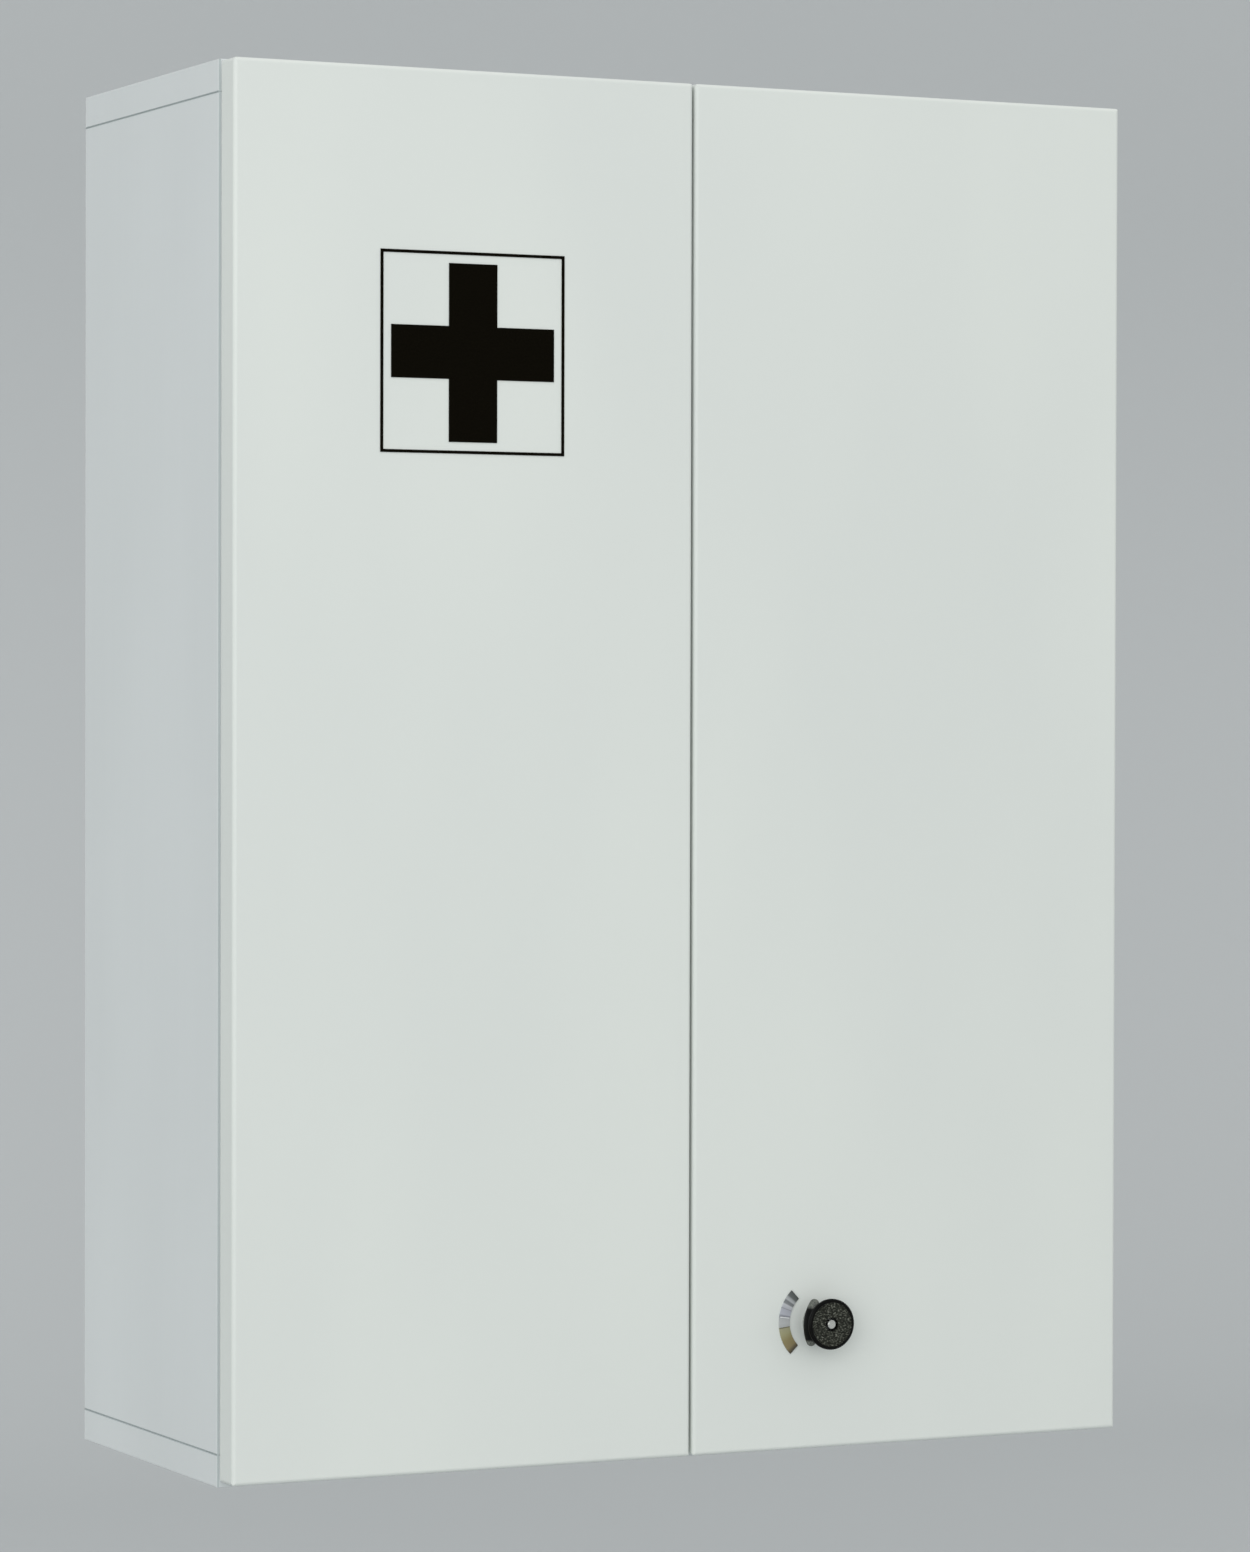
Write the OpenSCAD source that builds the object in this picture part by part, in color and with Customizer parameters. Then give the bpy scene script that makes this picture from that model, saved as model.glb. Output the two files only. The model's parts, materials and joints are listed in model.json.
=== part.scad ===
// Lockable two-door wall cabinet for medicines.
// X runs along the front, Y into the wall, Z up. The origin lies in the wall plane, midway between the two
// hanging holes, so the carcass reaches down to bottom_z and the doors stand forward of it along -Y.

/* [Cabinet] */
// Overall width of the carcass
cab_w = 500; // [440:10:640]
// Overall height of the carcass
cab_h = 700; // [640:10:800]
// Overall depth from the wall to the front of the doors
cab_d = 210; // [190:5:260]
// Thickness of the carcass boards and shelves
board_t = 16; // [16:1:19]
// Rounding of the upright board edges
edge_r = 1.5; // [0.8:0.1:2.5]
// Small rounding where two boards meet at a seam
seam_r = 0.5; // [0.3:0.1:0.8]
// Thickness of the back panel
back_t = 3; // [2.5:0.5:5]
// Space between the wall and the back panel
back_set = 17; // [14:1:22]
// Depth of the groove that holds the back panel
groove_d = 8; // [5:0.5:9]

/* [Doors] */
// Thickness of each door
door_t = 18; // [18:1:22]
// Gap between the carcass front and the back of a door
door_gap = 2; // [2:0.1:3]
// Gap between the two doors
split_gap = 1.5; // [1.5:0.1:4]
// How far a door stops short of the carcass at the top
top_reveal = 1; // [0.5:0.5:6]
// How far a door stops short of the carcass at the bottom
bottom_reveal = 3; // [0.5:0.5:6]
// Rounding of all door edges
door_r = 2; // [1.5:0.1:3]
// Diameter of a soft door bumper
bumper_d = 8; // [6:0.5:9]
// Distance of a bumper from the middle of the cabinet
bumper_x = 14; // [10:1:30]

/* [Sign] */
// Side of the square frame on the left door
sign_side = 100; // [80:1:120]
// Width of the frame line
sign_line = 1.5; // [1:0.1:4]
// Length of each bar of the cross
cross_len = 88.5; // [60:0.5:90]
// Width of each bar of the cross
cross_w = 26.2; // [15:0.2:35]
// Thickness of the sign film
film_t = 0.4; // [0.2:0.05:0.8]
// Distance of the sign centre from the door split
sign_x = 122.7; // [80:0.1:135]
// Distance of the sign centre below the top of the cabinet
sign_drop = 141.2; // [90:0.1:250]

/* [Shelves] */
// Height of the lower shelf top above the cabinet bottom
lower_shelf_h = 240; // [200:1:280]
// Height of the upper shelf top above the cabinet bottom
upper_shelf_h = 464; // [420:1:500]
// Depth of a shelf
shelf_d = 150; // [120:1:160]
// Side play of a shelf between the side panels
shelf_play = 1; // [0.5:0.1:2]
// Diameter of a shelf pin
pin_d = 5; // [4:0.5:6]
// Depth of a shelf pin in its hole
pin_in = 8; // [6:0.5:10]
// Pitch of the shelf pin holes
pin_pitch = 32; // [25:1:32]

/* [Carcass fittings] */
// Diameter of a wooden dowel
dowel_d = 8; // [6:0.5:8]
// Dowel depth in the top or bottom panel
dowel_up = 11; // [8:0.5:12]
// Dowel depth in the end of a side panel
dowel_down = 20; // [15:1:25]
// Diameter of a corner cam
cam_d = 15; // [12:0.5:18]
// Depth of a corner cam in the side panel
cam_depth = 12.3; // [10:0.1:13]
// Distance from the cam axis to the end of the side panel
cam_reach = 34; // [24:1:40]
// Diameter of a cam bolt
cam_bolt_d = 6; // [5:0.5:7]

/* [Hanging brackets] */
// Distance of the hanging holes below the top of the cabinet
hang_drop = 60; // [56:1:140]
// Distance of a hanging hole from the inner face of a side panel
hang_inset = 18; // [14:0.5:30]
// Diameter of a hanging hole
hang_hole_d = 6.5; // [5:0.5:9]
// Diameter of the driver hole in the back panel
driver_hole_d = 13; // [10:0.5:16]
// Thickness of a bracket
bracket_t = 2; // [1.5:0.1:3]
// Height of a bracket
bracket_h = 40; // [36:1:60]

/* [Hinges] */
// Height of the lower hinges above the cabinet bottom
lower_hinge_h = 100; // [90:1:150]
// Distance of the upper hinges below the top of the cabinet
upper_hinge_drop = 100; // [90:1:150]
// Distance of the hinge axis from the outer edge of the door
axis_u = 7; // [6.9:0.1:7.5]
// Distance of the hinge axis behind the carcass front, measured forward
axis_v = 12.5; // [12:0.1:12.8]
// Outside diameter of a hinge cup
cup_d = 35; // [34:0.5:36]
// Board left between the cup and the outer edge of the door
cup_edge = 3; // [2.8:0.1:3.2]
// Depth of the cup in the door
cup_depth = 14.2; // [14:0.1:15]
// Wall of the cup
cup_wall = 0.8; // [0.6:0.1:0.9]
// Diameter of the hinge pin
hinge_pin_d = 2.4; // [2:0.1:2.6]
// Radius of the rolled eye of the arm
eye_r = 2.2; // [2:0.05:2.3]
// Thickness of the arm steel
arm_t = 1.9; // [1.5:0.1:2]
// Width of the arm neck in the cup
neck_w = 9; // [7:0.5:9]
// Distance from the hinge axis to the far face of the neck
neck_run = 18; // [17:0.5:19]
// Inside radius of the bend between the neck and the channel of the arm
arm_bend_r = 1.6; // [1:0.1:2.5]
// Width of a mounting plate across its screw wings
plate_wing = 14; // [12:0.5:16]

/* [Lock] */
// Distance of the lock axis from the door split
lock_x = 72.4; // [60:0.1:90]
// Height of the lock axis above the cabinet bottom
lock_h = 68.2; // [64:0.1:90]
// Diameter of the knob
knob_d = 26; // [22:0.5:32]
// How far the knob stands out from the door
knob_out = 16; // [14:0.5:20]
// Width of the smooth rim around the grained face of the knob
knob_rim = 2; // [1.4:0.1:3]
// Height of the pointer lobe behind the knob disc
lobe_h = 24.2; // [20:0.2:26]
// Width of the pointer lobe
lobe_w = 9.4; // [8:0.2:11]
// Distance of the middle of the pointer lobe from the lock axis
lobe_x = 8.2; // [7:0.1:9]
// Angle of the pointer lobe above the middle of the scale while the lock is open
lobe_turn = 5.5; // [0:0.5:10]
// Diameter of the lock barrel
barrel_d = 16; // [14:0.5:18]
// Diameter of the spindle
spindle_d = 8; // [7:0.5:9]
// Diameter of the key post in the middle of the knob
key_post_d = 4.4; // [3.5:0.1:5]
// Diameter of the round keyway
keyway_d = 7.2; // [6:0.1:8]
// Distance from the lock axis to the tip of the tongue
tongue_len = 47; // [45:0.5:47.5]
// Width of the tongue
tongue_w = 14; // [12:0.5:16]
// Thickness of the tongue
tongue_t = 2.5; // [2:0.1:3]
// Outer radius of the scale beside the knob
scale_ro = 22.5; // [20:0.5:28]
// Inner radius of the scale
scale_ri = 16.5; // [15:0.5:19]
// Angle from the middle of the scale to its upper end
scale_up = 47.5; // [40:0.5:60]
// Angle from the middle of the scale to its lower end
scale_down = 45; // [40:0.5:60]
// Thickness of the scale metal
scale_t = 0.6; // [0.4:0.1:1]

/* [Slide bolt] */
// Distance of the slide bolt from the door split
bolt_x = 30; // [24:1:60]
// Diameter of the slide bolt
bolt_d = 8; // [6:0.5:9]
// Travel of the slide bolt
bolt_travel = 14; // [10:0.5:14]
// Length of the slide bolt
bolt_len = 66; // [62:1:75]

/* [Hidden] */
$fn = 64;

// Clearances
fit = 0.05;
run_fit = 0.1;
loose = 0.2;

// Overall positions
half_w = cab_w / 2;
top_z = hang_drop;
bottom_z = top_z - cab_h;
carcass_d = cab_d - door_t - door_gap;
front_y = -carcass_d;
door_back_y = front_y - door_gap;
door_front_y = -cab_d;
inner_x = half_w - board_t;
inner_h = cab_h - 2 * board_t;
back_front_y = -(back_set + back_t);
door_w = half_w - split_gap / 2;
door_h = cab_h - top_reveal - bottom_reveal;
hinge_heights = [lower_hinge_h, cab_h - upper_hinge_drop];
sign_z = top_z - sign_drop;

// Carcass joints
joint_x = half_w - board_t / 2;
dowel_back = 40;
dowel_front = 26;
cam_step = 26;
dowel_ys = [-dowel_back, dowel_front - carcass_d];
cam_ys = [-dowel_back - cam_step, dowel_front + cam_step - carcass_d];
hang_margin = 13;
bracket_bend_r = 1.5;
bracket_corner_r = 4;

// Shelves
pin_back = 28;
pin_front = 18;
pin_ys = [back_front_y - pin_back, back_front_y - shelf_d + pin_front];
pin_drop = pin_d / 2;
pin_pad = 9;
pin_pad_t = 3;
shelf_heights = [lower_shelf_h, upper_shelf_h];

// Hinge, drawn with its local x from the outer face of the side panel and its local y from the carcass front
cup_u = cup_edge + cup_d / 2;
cup_ri = cup_d / 2 - cup_wall;
cup_floor_v = -door_gap - cup_depth;
cheek_gap = neck_w / 2 + 0.4;
flange_t = 1;
flange_u0 = 5.5;
wing_z = 22.5;
wing_u = cup_u + 9.5;
wing_r = 5.5;
cup_lip = 1.5;
cup_screw_l = 12;
riser_u1 = axis_u + neck_run;
riser_u0 = riser_u1 - arm_t;
channel_half = 7.5;
channel_v0 = 7;
channel_v1 = 60;
plate_t = 2;
plate_v = 37;
plate_screw_z = 16;
ridge_u1 = riser_u0 - 0.3;
ridge_half = 5.6;
fix_screw_v = 46;
fix_slot = 6;
adjust_screw_v = 24;
channel_u0 = board_t + plate_t + 0.4;
channel_wall = 1.5;
channel_r = 2;
flare = 6;

// Lock
lock_z = bottom_z + lock_h;
knob_front_y = door_front_y - knob_out;
barrel_flange_d = barrel_d + 1.6;
barrel_flange_t = 1.5;
barrel_end_y = door_back_y + 6.5;
nut_t = 4;
tongue_y0 = barrel_end_y + 2;
square_w = 6;
neck_r = barrel_flange_d / 2 - 0.2;
strike_t = 2;
strike_gap = 0.8;
strike_h = 18;
strike_w = 26;
strike_y1 = tongue_y0 - strike_gap;
strike_base = 22;
strike_bend_r = 1;
strike_corner_r = 4;
core_back_y = knob_front_y + 8;
knob_edge_t = 1.2;
knob_dish = 0.4;
knob_back = 3.1;
knob_neck_r = 6.6;
lobe_depth = 5.9;
lobe_tip_r = 2.4;
neck_end = 8.7;

// Slide bolt
bolt_y = front_y + bolt_d / 2 + 6;
bolt_rest_h = board_t + 3.5;
keeper_t = 1.5;
bolt_hole_d = bolt_d + 4;
housing_h0 = bolt_rest_h + 4.5;
guide_w = bolt_d + 10;
guide_wall = 2;
guide_h = 10;
housing_h = bolt_len - 2;
grip_h = bolt_rest_h + bolt_len / 2 + 7;

// A rectangle of w by h, centred, with its corners rounded to radius r
module round_rect(w, h, r) {
    square([w - 2 * r, h], center = true);
    square([w, h - 2 * r], center = true);
    for (sx = [-1, 1], sy = [-1, 1])
        translate([sx * (w / 2 - r), sy * (h / 2 - r)])
            circle(r = r);
}

// A board from corner p of size s, rounded to rz on its upright edges, ry on the edges along Y, rx along X
module soft_board(p, s, rz, ry, rx) {
    translate(p + s / 2)
        intersection() {
            translate([0, 0, -s[2] / 2])
                linear_extrude(s[2])
                    round_rect(s[0], s[1], rz);
            rotate([90, 0, 0])
                translate([0, 0, -s[1] / 2])
                    linear_extrude(s[1])
                        round_rect(s[0], s[2], ry);
            rotate([90, 0, 90])
                translate([0, 0, -s[0] / 2])
                    linear_extrude(s[0])
                        round_rect(s[1], s[2], rx);
        }
}

// A round bar or hole along Y, from y0 to y1, with its axis at x and height z
module bar_y(x, z, y0, y1, d) {
    translate([x, y0, z])
        rotate([-90, 0, 0])
            cylinder(d = d, h = y1 - y0);
}

// A round bar or hole along X, from x0 to x1, with its axis at y and height z
module bar_x(y, z, x0, x1, d) {
    translate([x0, y, z])
        rotate([0, 90, 0])
            cylinder(d = d, h = x1 - x0);
}

// A round bar or hole along Z, from z0 to z1
module bar_z(x, y, z0, z1, d) {
    translate([x, y, z0])
        cylinder(d = d, h = z1 - z0);
}

// A box given by its two corners
module span(a, b) {
    translate(a)
        cube(b - a);
}

// A strip of thickness t that runs along +X to the corner [x, y], bends upward with inside radius r, and runs on
// along +Y; a and b are the lengths of its two straight legs to the outside corner
module bent_strip(a, b, t, r) {
    translate([-a, 0])
        square([a - r - t, t]);
    translate([-t, r + t])
        square([t, b - r - t]);
    translate([-r - t, r + t])
        intersection() {
            difference() {
                circle(r = r + t);
                circle(r = r);
            }
            translate([0, -r - t])
                square(r + t);
        }
}

// A slot of width w whose end circles lie l apart along X
module slot(l, w) {
    square([l, w], center = true);
    for (s = [-1, 1])
        translate([s * l / 2, 0])
            circle(d = w);
}

// Children on the left and again mirrored on the right
module both_sides() {
    children();
    mirror([1, 0, 0])
        children();
}

// Children in the hinge frame of the left door, at each hinge height
module at_left_hinges() {
    for (h = hinge_heights)
        translate([-half_w, front_y, bottom_z + h])
            children();
}

// Places of the four carcass corners as seen on the left side: height of the seam and direction into the side panel
corner_zs = [[bottom_z + board_t, 1], [top_z - board_t, -1]];

// Carcass boards

module side_panel() {
    difference() {
        soft_board([-half_w, front_y, bottom_z + board_t], [board_t, carcass_d, inner_h], edge_r, seam_r, seam_r);
        span([-inner_x - groove_d, back_front_y - run_fit, bottom_z + board_t - 1],
             [-inner_x + 1, -back_set + run_fit, top_z - board_t + 1]);
        for (c = corner_zs) {
            for (y = dowel_ys)
                bar_z(-joint_x, y, c[0] - (c[1] < 0 ? dowel_down + loose : 1),
                      c[0] + (c[1] > 0 ? dowel_down + loose : 1), dowel_d + 2 * fit);
            for (y = cam_ys) {
                bar_z(-joint_x, y, c[0] - (c[1] < 0 ? cam_reach : 1), c[0] + (c[1] > 0 ? cam_reach : 1),
                      cam_bolt_d + 1);
                bar_x(y, c[0] + c[1] * cam_reach, -inner_x - cam_depth - loose, -inner_x + 1, cam_d + 2 * fit);
            }
        }
        for (h = shelf_heights, k = [-2:2], y = pin_ys)
            bar_x(y, bottom_z + h - board_t - pin_drop + k * pin_pitch, -inner_x - pin_in - loose, -inner_x + 1,
                  pin_d + 2 * fit);
        at_left_hinges()
            for (s = [-1, 1])
                bar_x(plate_v, s * plate_screw_z, board_t - 12, board_t + 1, 4);
        for (s = [-1, 1])
            bar_x(-back_set / 2, s * bracket_h / 4, -inner_x - 12, -inner_x + 1, 3.5);
    }
}

module side_panel_left() {
    color("whitesmoke")
        side_panel();
}

module side_panel_right() {
    color("whitesmoke")
        mirror([1, 0, 0])
            side_panel();
}

// The top or bottom panel with its seam face at z and its body on the side given by way
module flat_panel(z, way) {
    difference() {
        soft_board([-half_w, front_y, way > 0 ? z : z - board_t], [cab_w, carcass_d, board_t], edge_r, seam_r, seam_r);
        span([-inner_x - groove_d, back_front_y - run_fit, way > 0 ? z - 1 : z - groove_d],
             [inner_x + groove_d, -back_set + run_fit, way > 0 ? z + groove_d : z + 1]);
        both_sides() {
            for (y = dowel_ys)
                bar_z(-joint_x, y, way > 0 ? z - 1 : z - dowel_up - loose, way > 0 ? z + dowel_up + loose : z + 1,
                      dowel_d + 2 * fit);
            for (y = cam_ys)
                bar_z(-joint_x, y, way > 0 ? z - 1 : z - dowel_up - loose, way > 0 ? z + dowel_up + loose : z + 1,
                      cam_bolt_d - 1 + 2 * fit);
        }
    }
}

module top_panel() {
    color("whitesmoke")
        flat_panel(top_z - board_t, 1);
}

module bottom_panel() {
    z = bottom_z + board_t;
    color("whitesmoke")
        difference() {
            flat_panel(z, -1);
            bar_z(-bolt_x, bolt_y, z - bolt_travel, z + 1, bolt_hole_d);
            for (s = [-1, 1])
                bar_z(-bolt_x + s * (bolt_d + 2), bolt_y, z - 9, z + 1, 2.5);
            for (s = [-1, 1])
                bar_z(lock_x + s * strike_w / 4, strike_y1 + 11, z - 11, z + 1, 3);
        }
}

module back_panel() {
    over = groove_d - 0.5;
    color("gainsboro")
        difference() {
            span([-inner_x - over, back_front_y, bottom_z + board_t - over],
                 [inner_x + over, -back_set, top_z - board_t + over]);
            both_sides()
                bar_y(-inner_x + hang_inset, 0, back_front_y - 1, -back_set + 1, driver_hole_d);
        }
}

// Shelves and pins

module shelf(h) {
    w = 2 * (inner_x - shelf_play);
    color("whitesmoke")
        soft_board([-w / 2, back_front_y - 2 - shelf_d, bottom_z + h - board_t], [w, shelf_d, board_t],
                   seam_r, seam_r, 1);
}

module upper_shelf() {
    shelf(upper_shelf_h);
}

module lower_shelf() {
    shelf(lower_shelf_h);
}

module shelf_pins() {
    color("silver")
        both_sides()
            for (h = shelf_heights, y = pin_ys) {
                z = bottom_z + h - board_t;
                bar_x(y, z - pin_drop, -inner_x - pin_in, -inner_x + 1, pin_d);
                span([-inner_x, y - 4, z - pin_pad_t], [-inner_x + pin_pad, y + 4, z]);
                span([-inner_x, y - 4, z - 2 * pin_drop - 1], [-inner_x + 1.2, y + 4, z - 1]);
            }
}

// Fittings that join the boards

module carcass_dowels() {
    color("burlywood")
        both_sides()
            for (c = corner_zs, y = dowel_ys) {
                z0 = c[1] > 0 ? c[0] - dowel_up : c[0] - dowel_down;
                z1 = c[1] > 0 ? c[0] + dowel_down : c[0] + dowel_up;
                bar_z(-joint_x, y, z0 + 0.8, z1 - 0.8, dowel_d);
                bar_z(-joint_x, y, z0, z1, dowel_d - 1.2);
            }
}

module corner_cams() {
    color("silver")
        both_sides()
            for (c = corner_zs, y = cam_ys) {
                z = c[0] + c[1] * cam_reach;
                difference() {
                    bar_x(y, z, -inner_x - cam_depth, -inner_x, cam_d);
                    bar_z(-joint_x, y, z - (c[1] > 0 ? cam_d : 4), z + (c[1] < 0 ? cam_d : 4), cam_bolt_d + 1.6);
                    span([-inner_x - 2, y - 0.6, z - 4], [-inner_x + 1, y + 0.6, z + 4]);
                    span([-inner_x - 2, y - 4, z - 0.6], [-inner_x + 1, y + 4, z + 0.6]);
                }
            }
}

module corner_cam_bolts() {
    color("darkgray")
        both_sides()
            for (c = corner_zs, y = cam_ys) {
                z = c[0];
                w = c[1];
                translate([-joint_x, y, z])
                    mirror([0, 0, w > 0 ? 0 : 1]) {
                        translate([0, 0, -dowel_up])
                            cylinder(d = cam_bolt_d - 1, h = dowel_up);
                        cylinder(d = cam_bolt_d, h = cam_reach - 5);
                        cylinder(d = cam_bolt_d - 2.4, h = cam_reach - 2);
                        translate([0, 0, cam_reach - 2.5])
                            cylinder(d = cam_bolt_d, h = 4.5);
                    }
            }
}

// Hanging brackets behind the back panel

// A bent angle: one leg flat against the wall with the hanging hole, one leg on the side panel
module hanging_brackets() {
    depth = back_set - 0.6;
    wide = hang_inset + hang_margin;
    color("silver")
        both_sides()
            difference() {
                intersection() {
                    translate([-inner_x, 0, -bracket_h / 2])
                        linear_extrude(bracket_h)
                            rotate(180)
                                bent_strip(wide, depth, bracket_t, bracket_bend_r);
                    rotate([90, 0, 0])
                        translate([0, 0, -1])
                            linear_extrude(depth + 2)
                                translate([-inner_x + wide / 2 - bracket_corner_r, 0])
                                    round_rect(wide + 2 * bracket_corner_r, bracket_h, bracket_corner_r);
                    rotate([90, 0, 90])
                        translate([0, 0, -inner_x - 1])
                            linear_extrude(wide + 2)
                                translate([-depth / 2 + bracket_corner_r, 0])
                                    round_rect(depth + 2 * bracket_corner_r, bracket_h, bracket_corner_r);
                }
                bar_y(-inner_x + hang_inset, 0, -bracket_t - 1, 1, hang_hole_d);
                for (s = [-1, 1])
                    bar_x(-back_set / 2, s * bracket_h / 4, -inner_x - 1, -inner_x + bracket_t + 1, 4.2);
            }
}

// A pan head wood screw along +X, its head bearing at x = 0
module screw_x(shank_d, shank_l, head_d, head_h) {
    difference() {
        rotate([0, 90, 0])
            cylinder(d = head_d, h = head_h);
        span([head_h - 0.7, -head_d * 0.32, -0.5], [head_h + 1, head_d * 0.32, 0.5]);
        span([head_h - 0.7, -0.5, -head_d * 0.32], [head_h + 1, 0.5, head_d * 0.32]);
    }
    rotate([0, -90, 0]) {
        cylinder(d = shank_d, h = shank_l - 2);
        translate([0, 0, shank_l - 2])
            cylinder(d1 = shank_d, d2 = 1, h = 2);
    }
}

module hanging_bracket_screws() {
    color("gainsboro")
        both_sides()
            for (s = [-1, 1])
                translate([-inner_x + bracket_t, -back_set / 2, s * bracket_h / 4])
                    screw_x(3.4, 13, 7, 2);
}

// Hinges: plate and arm on the carcass, cup and pin on the door

// A mounting plate: two round screw wings, and a ridge that the arm's channel sits on
module left_plates() {
    at_left_hinges()
        difference() {
            union() {
                translate([board_t, 0, 0])
                    rotate([90, 0, 90])
                        linear_extrude(plate_t)
                            translate([plate_v, 0])
                                rotate(90)
                                    slot(2 * plate_screw_z, plate_wing);
                translate([0, channel_v1 - 3, 0])
                    rotate([90, 0, 0])
                        linear_extrude(channel_v1 - channel_v0 - 11)
                            translate([board_t + (ridge_u1 - board_t) / 2 - 1, 0])
                                intersection() {
                                    round_rect(ridge_u1 - board_t + 2, 2 * ridge_half, 1.2);
                                    translate([-(ridge_u1 - board_t) / 2 + 1, -ridge_half])
                                        square([ridge_u1 - board_t, 2 * ridge_half]);
                                }
            }
            for (s = [-1, 1])
                bar_x(plate_v, s * plate_screw_z, board_t - 1, board_t + plate_t + 1, 4.4);
            bar_x(fix_screw_v, 0, board_t + 1, ridge_u1 + 1, 4.2);
            bar_x(adjust_screw_v, 0, board_t + 3, ridge_u1 + 1, 3.4);
        }
}

module left_hinge_plates() {
    color("silver")
        left_plates();
}

module right_hinge_plates() {
    color("silver")
        mirror([1, 0, 0])
            left_plates();
}

module hinge_plate_screws() {
    color("gainsboro")
        both_sides()
            at_left_hinges()
                for (s = [-1, 1])
                    translate([board_t + plate_t, plate_v, s * plate_screw_z])
                        screw_x(3.9, 13, 7.5, 2);
}

// The arm: an eye on the hinge pin, a swan neck that runs along the cup floor and bends up out of the cup, a flare
// to full width, and a channel that straddles the ridge of the plate
module left_arms() {
    floor_y = -axis_v - eye_r;
    at_left_hinges()
        difference() {
            union() {
                // Eye, neck, bend and riser as one bent strip
                translate([0, 0, -neck_w / 2])
                    linear_extrude(neck_w) {
                        translate([axis_u, -axis_v])
                            circle(r = eye_r);
                        translate([riser_u1, floor_y])
                            bent_strip(neck_run, channel_v0 + 1 - floor_y, arm_t, arm_bend_r);
                    }
                // Web of the channel with its flare
                translate([riser_u0, 0, 0])
                    rotate([90, 0, 90])
                        linear_extrude(arm_t) {
                            polygon([
                                [channel_v0 - flare, -neck_w / 2],
                                [channel_v0, channel_r - channel_half],
                                [channel_v1, channel_r - channel_half],
                                [channel_v1, channel_half - channel_r],
                                [channel_v0, channel_half - channel_r],
                                [channel_v0 - flare, neck_w / 2]
                            ]);
                        }
                // Channel with rounded shoulders
                translate([0, channel_v1, 0])
                    rotate([90, 0, 0])
                        linear_extrude(channel_v1 - channel_v0)
                            difference() {
                                translate([riser_u1 - 10, 0])
                                    round_rect(20, 2 * channel_half, channel_r);
                                translate([riser_u1 - 30, -channel_half - 1])
                                    square([30 - riser_u1 + channel_u0, 2 * channel_half + 2]);
                                translate([riser_u0 - 20, 0])
                                    round_rect(40, 2 * (channel_half - channel_wall), channel_r - channel_wall);
                            }
            }
            bar_z(axis_u, -axis_v, -neck_w, neck_w, hinge_pin_d + 2 * fit);
            translate([riser_u0 - 1, 0, 0])
                rotate([90, 0, 90])
                    linear_extrude(arm_t + 2)
                        translate([fix_screw_v, 0])
                            slot(fix_slot, 4.6);
            bar_x(adjust_screw_v, 0, riser_u0 - 1, riser_u1 + 1, 4.2);
        }
}

module left_hinge_arms() {
    color("silver")
        left_arms();
}

module right_hinge_arms() {
    color("silver")
        mirror([1, 0, 0])
            left_arms();
}

module hinge_arm_screws() {
    color("gainsboro")
        both_sides()
            at_left_hinges() {
                translate([riser_u1, fix_screw_v, 0])
                    screw_x(4, riser_u1 - board_t - 1.6, 7.5, 2);
                translate([riser_u1, adjust_screw_v, 0])
                    screw_x(3.2, riser_u1 - board_t - 3.6, 6, 1.6);
            }
}

module left_cups() {
    at_left_hinges()
        difference() {
            union() {
                translate([cup_u, -door_gap, 0])
                    rotate([90, 0, 0])
                        cylinder(d = cup_d, h = cup_depth);
                // Flange with two screw wings, on the back of the door
                difference() {
                    translate([0, -door_gap + flange_t, 0])
                        rotate([90, 0, 0])
                            linear_extrude(flange_t) {
                                translate([cup_u, 0])
                                    circle(d = cup_d + 2 * cup_lip);
                                translate([wing_u, 0])
                                    rotate(90)
                                        slot(2 * wing_z, 2 * wing_r);
                            }
                    span([-cup_d, -door_gap - 1, -2 * wing_z], [flange_u0, 1, 2 * wing_z]);
                }
            }
            // Hollow of the cup, leaving the two cheeks that carry the pin
            difference() {
                translate([cup_u, 1, 0])
                    rotate([90, 0, 0])
                        cylinder(r = cup_ri, h = 1 + door_gap + cup_depth - 1);
                for (s = [0, 1])
                    mirror([0, 0, s])
                        span([0, cup_floor_v, cheek_gap], [axis_u + 3.2, -axis_v + 3.4, cup_d / 2]);
            }
            bar_z(axis_u, -axis_v, -cup_d / 2, cup_d / 2, hinge_pin_d);
            for (s = [-1, 1])
                bar_y(wing_u, s * wing_z, -door_gap - 1, 1, 3.8);
        }
}

module left_hinge_cups() {
    color("silver")
        left_cups();
}

module right_hinge_cups() {
    color("silver")
        mirror([1, 0, 0])
            left_cups();
}

module left_pins() {
    half = sqrt(pow(cup_ri, 2) - pow(cup_u - axis_u, 2)) - 0.3;
    at_left_hinges()
        bar_z(axis_u, -axis_v, -half, half, hinge_pin_d);
}

module left_hinge_pins() {
    color("darkgray")
        left_pins();
}

module right_hinge_pins() {
    color("darkgray")
        mirror([1, 0, 0])
            left_pins();
}

module left_wing_screws() {
    at_left_hinges()
        for (s = [-1, 1])
            translate([wing_u, -door_gap + flange_t, s * wing_z])
                rotate([0, 0, 90])
                    screw_x(3.4, cup_screw_l, 6, 0.8);
}

module left_cup_screws() {
    color("gainsboro")
        left_wing_screws();
}

module right_cup_screws() {
    color("gainsboro")
        mirror([1, 0, 0])
            left_wing_screws();
}

// Doors

module door_blank() {
    difference() {
        soft_board([-half_w, door_front_y, bottom_z + bottom_reveal], [door_w, door_t, door_h], door_r, door_r, door_r);
        at_left_hinges() {
            translate([cup_u, 1 - door_gap, 0])
                rotate([90, 0, 0])
                    cylinder(d = cup_d + 2 * fit, h = 1 + cup_depth + loose);
            for (s = [-1, 1])
                bar_y(wing_u, s * wing_z, -door_gap - cup_screw_l, 1, 3.5);
        }
    }
}

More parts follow.
